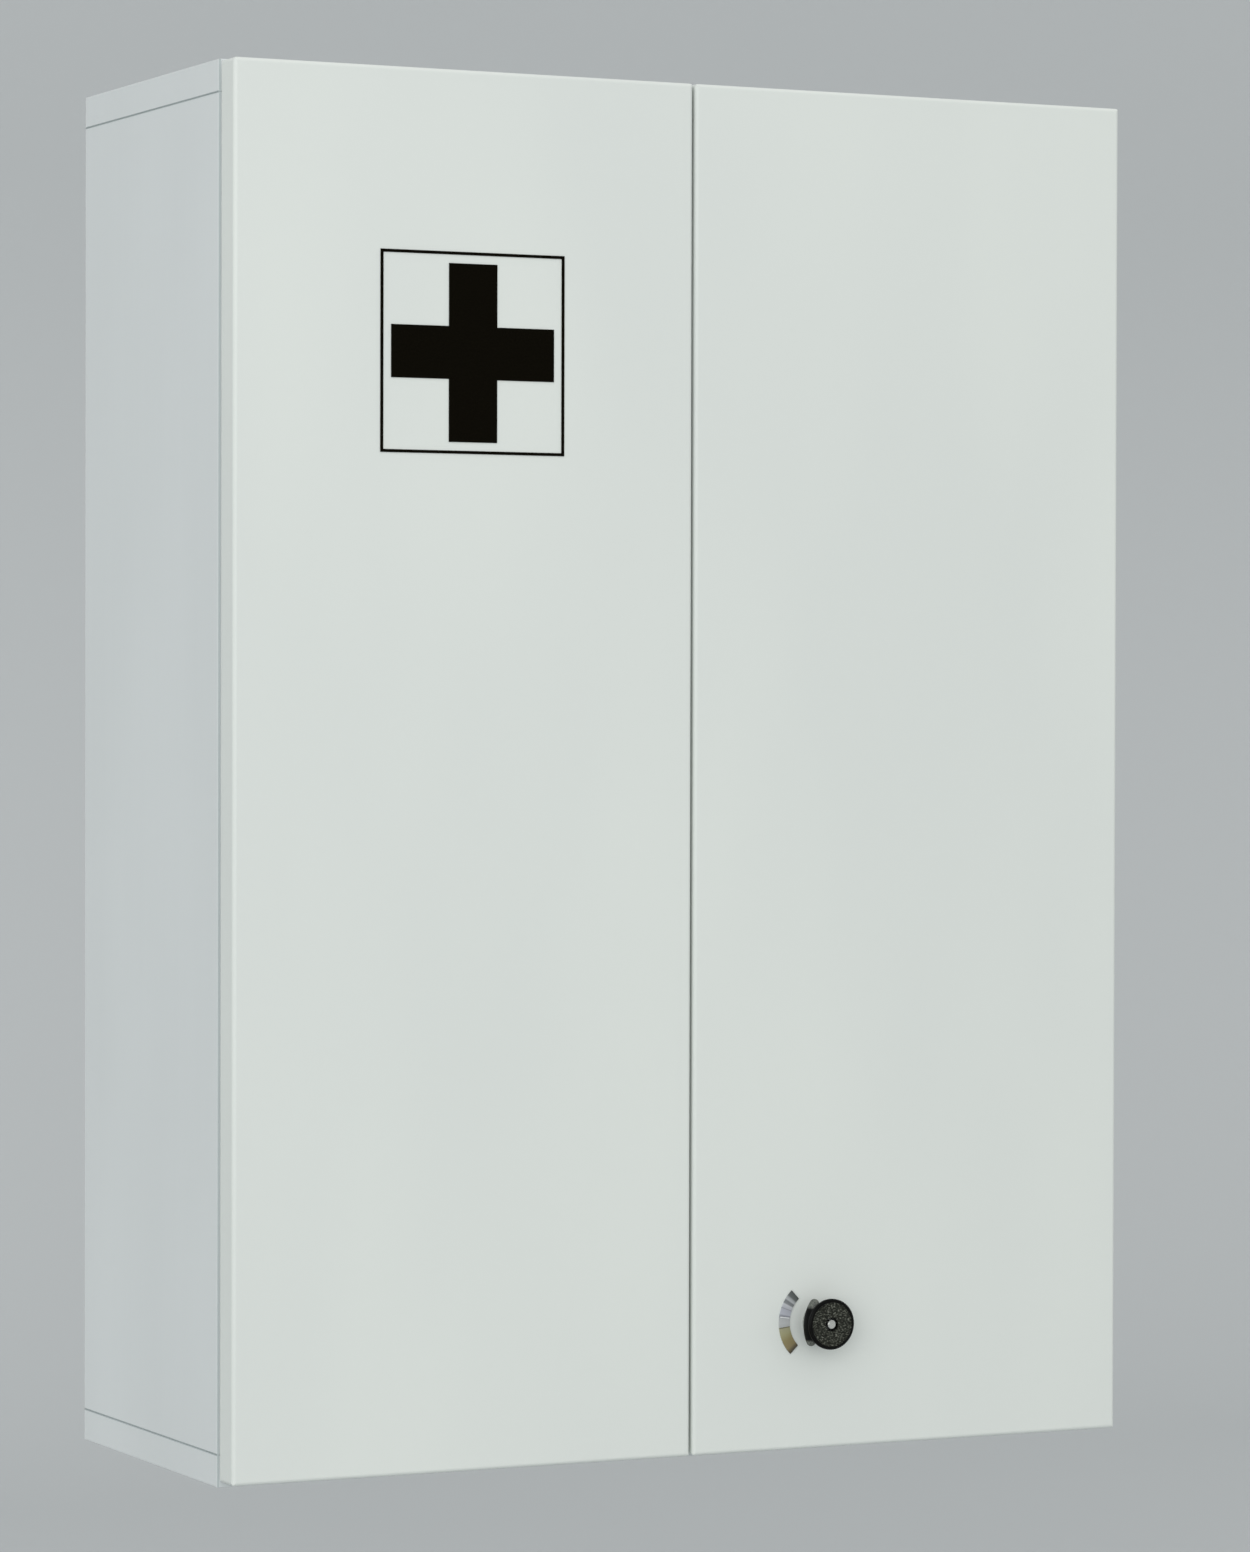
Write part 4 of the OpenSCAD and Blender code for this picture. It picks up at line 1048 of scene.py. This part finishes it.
@dataclass
class Studio:
    """Pale sweep, even room light, a soft lamp and the camera of the photograph.

    The photograph's edges fit a camera 26 degrees to the left of straight on, about 2.9 m away, level with the middle
    of the cabinet, whose focal length is 5297 pixels where the long side of the picture has 1552.
    """

    pale: str = "#BDC1C2"
    floor_z: float = above_bottom(-260.0)
    half_width: float = 6.0
    front_y: float = -6.0
    bend_y: float = 1.4
    bend_radius: float = 1.2
    bend_points: int = 17
    top_z: float = 4.0
    room_strength: float = 0.975
    lamps: tuple[SoftBox, ...] = (SoftBox("key_lamp", (-2.1, -2.6, 0.3), (0.0, -0.2, -0.35), 2.2, 30.0),)
    camera_place: tuple[float, float, float] = (-1.20384, -2.60972, above_bottom(386.07))
    camera_yaw: float = 25.906
    camera_pitch: float = -0.803
    camera_roll: float = 0.135
    camera_clip: tuple[float, float] = (0.05, 100.0)
    focal_pixels: float = 5296.6
    long_side_pixels: float = 1552.0
    sensor_mm: float = 36.0

    def sweep(self) -> bpy.types.Object:
        """Build the floor that bends up into a backdrop, as one strip carried along X.

        The profile runs along the floor, then round a quarter circle of bend_radius, then straight up: at the angle a
        of the bend, its Y is bend_y plus the radius times the sine of a, and its Z is the floor's plus the radius
        times one less the cosine of a. Its back is see-through to the camera, so the views from behind and below still
        show the cabinet.

        Returns:
            The sweep object.
        """
        turn = np.linspace(0.0, math.pi / 2, self.bend_points)
        across = self.bend_y + self.bend_radius * np.sin(turn)
        upward = self.floor_z + self.bend_radius * (1 - np.cos(turn))
        bend = np.column_stack([across, upward])
        start = np.array([[self.front_y, self.floor_z]])
        end = np.array([[self.bend_y + self.bend_radius, self.top_z]])
        profile = np.concatenate([start, bend, end])
        count = len(profile)
        left = np.column_stack([np.full(count, -self.half_width), profile])
        right = np.column_stack([np.full(count, self.half_width), profile])
        points = np.concatenate([left, right])
        i = np.arange(count - 1)
        faces = np.stack([i, i + count, i + count + 1, i + 1], axis=1)
        mesh = bpy.data.meshes.new("pale_sweep")
        mesh.from_pydata(points.tolist(), [], faces.tolist())
        mesh.shade_smooth()
        sweep = bpy.data.objects.new("pale_sweep", mesh)
        bpy.context.scene.collection.objects.link(sweep)
        mesh.materials.append(self.sweep_material())
        return sweep

    def sweep_material(self) -> bpy.types.Material:
        """Make the matt paint of the sweep, which the camera sees through from behind.

        Returns:
            The material.
        """
        material = bpy.data.materials.new("matt_pale_sweep")
        material.use_nodes = True
        tree = material.node_tree
        tree.nodes.clear()
        paint = add_node(tree, "ShaderNodeBsdfDiffuse", {"Color": linear(self.pale)})
        clear = add_node(tree, "ShaderNodeBsdfTransparent")
        ray = add_node(tree, "ShaderNodeLightPath").outputs["Is Camera Ray"]
        back = add_node(tree, "ShaderNodeNewGeometry").outputs["Backfacing"]
        both = add_node(tree, MATH, {0: ray, 1: back}, operation="MULTIPLY")
        mix = add_node(tree, MIX_SHADERS, {0: both, 1: paint, 2: clear})
        add_node(tree, "ShaderNodeOutputMaterial", {"Surface": mix})
        return material

    def room(self) -> None:
        """Make the even room light, and the pale colour that the camera, gloss and glass see behind everything."""
        world = bpy.data.worlds.new("even_room")
        world.use_nodes = True
        bpy.context.scene.world = world
        tree = world.node_tree
        tree.nodes.clear()
        light = add_node(
            tree, "ShaderNodeBackground", {"Color": linear("#FFFFFF"), "Strength": self.room_strength}
        )
        seen = add_node(tree, "ShaderNodeBackground", {"Color": linear(self.pale), "Strength": 1.0})
        path = add_node(tree, "ShaderNodeLightPath").outputs
        eye = add_node(tree, MATH, {0: path["Is Camera Ray"], 1: path["Is Glossy Ray"]}, operation="MAXIMUM")
        eye = add_node(tree, MATH, {0: eye, 1: path["Is Transmission Ray"]}, operation="MAXIMUM")
        mix = add_node(tree, MIX_SHADERS, {0: eye, 1: light, 2: seen})
        add_node(tree, "ShaderNodeOutputWorld", {"Surface": mix})

    def camera(self) -> bpy.types.Object:
        """Set up the camera where the photograph was taken from.

        It looks along yaw and pitch, and its own right and up are turned by the roll about that direction.

        Returns:
            The camera object.
        """
        yaw, pitch, roll = np.radians([self.camera_yaw, self.camera_pitch, self.camera_roll]).tolist()
        forward = Vector((math.sin(yaw) * math.cos(pitch), math.cos(yaw) * math.cos(pitch), math.sin(pitch)))
        right = Vector((math.cos(yaw), -math.sin(yaw), 0.0))
        up = right.cross(forward)
        right, up = right * math.cos(roll) + up * math.sin(roll), up * math.cos(roll) - right * math.sin(roll)
        lens = bpy.data.cameras.new("photograph_camera")
        lens.sensor_width = self.sensor_mm
        lens.lens = self.focal_pixels / self.long_side_pixels * self.sensor_mm
        lens.clip_start, lens.clip_end = self.camera_clip
        camera = bpy.data.objects.new("photograph_camera", lens)
        bpy.context.scene.collection.objects.link(camera)
        turn = Matrix((right, up, -forward)).transposed().to_4x4()
        camera.matrix_world = Matrix.Translation(self.camera_place) @ turn
        bpy.context.scene.camera = camera
        return camera

    def build(self) -> None:
        """Build the whole studio."""
        self.sweep()
        self.room()
        for lamp in self.lamps:
            lamp.build()
        self.camera()
        bpy.context.scene.view_settings.view_transform = "Standard"


def main() -> None:
    """Load the frame, dress the cabinet and build the studio."""
    logging.basicConfig(level=logging.INFO, format="%(name)s: %(message)s")
    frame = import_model()
    Cabinet().dress(frame)
    Studio().build()
    bpy.context.view_layer.update()


if __name__ == "__main__":
    main()
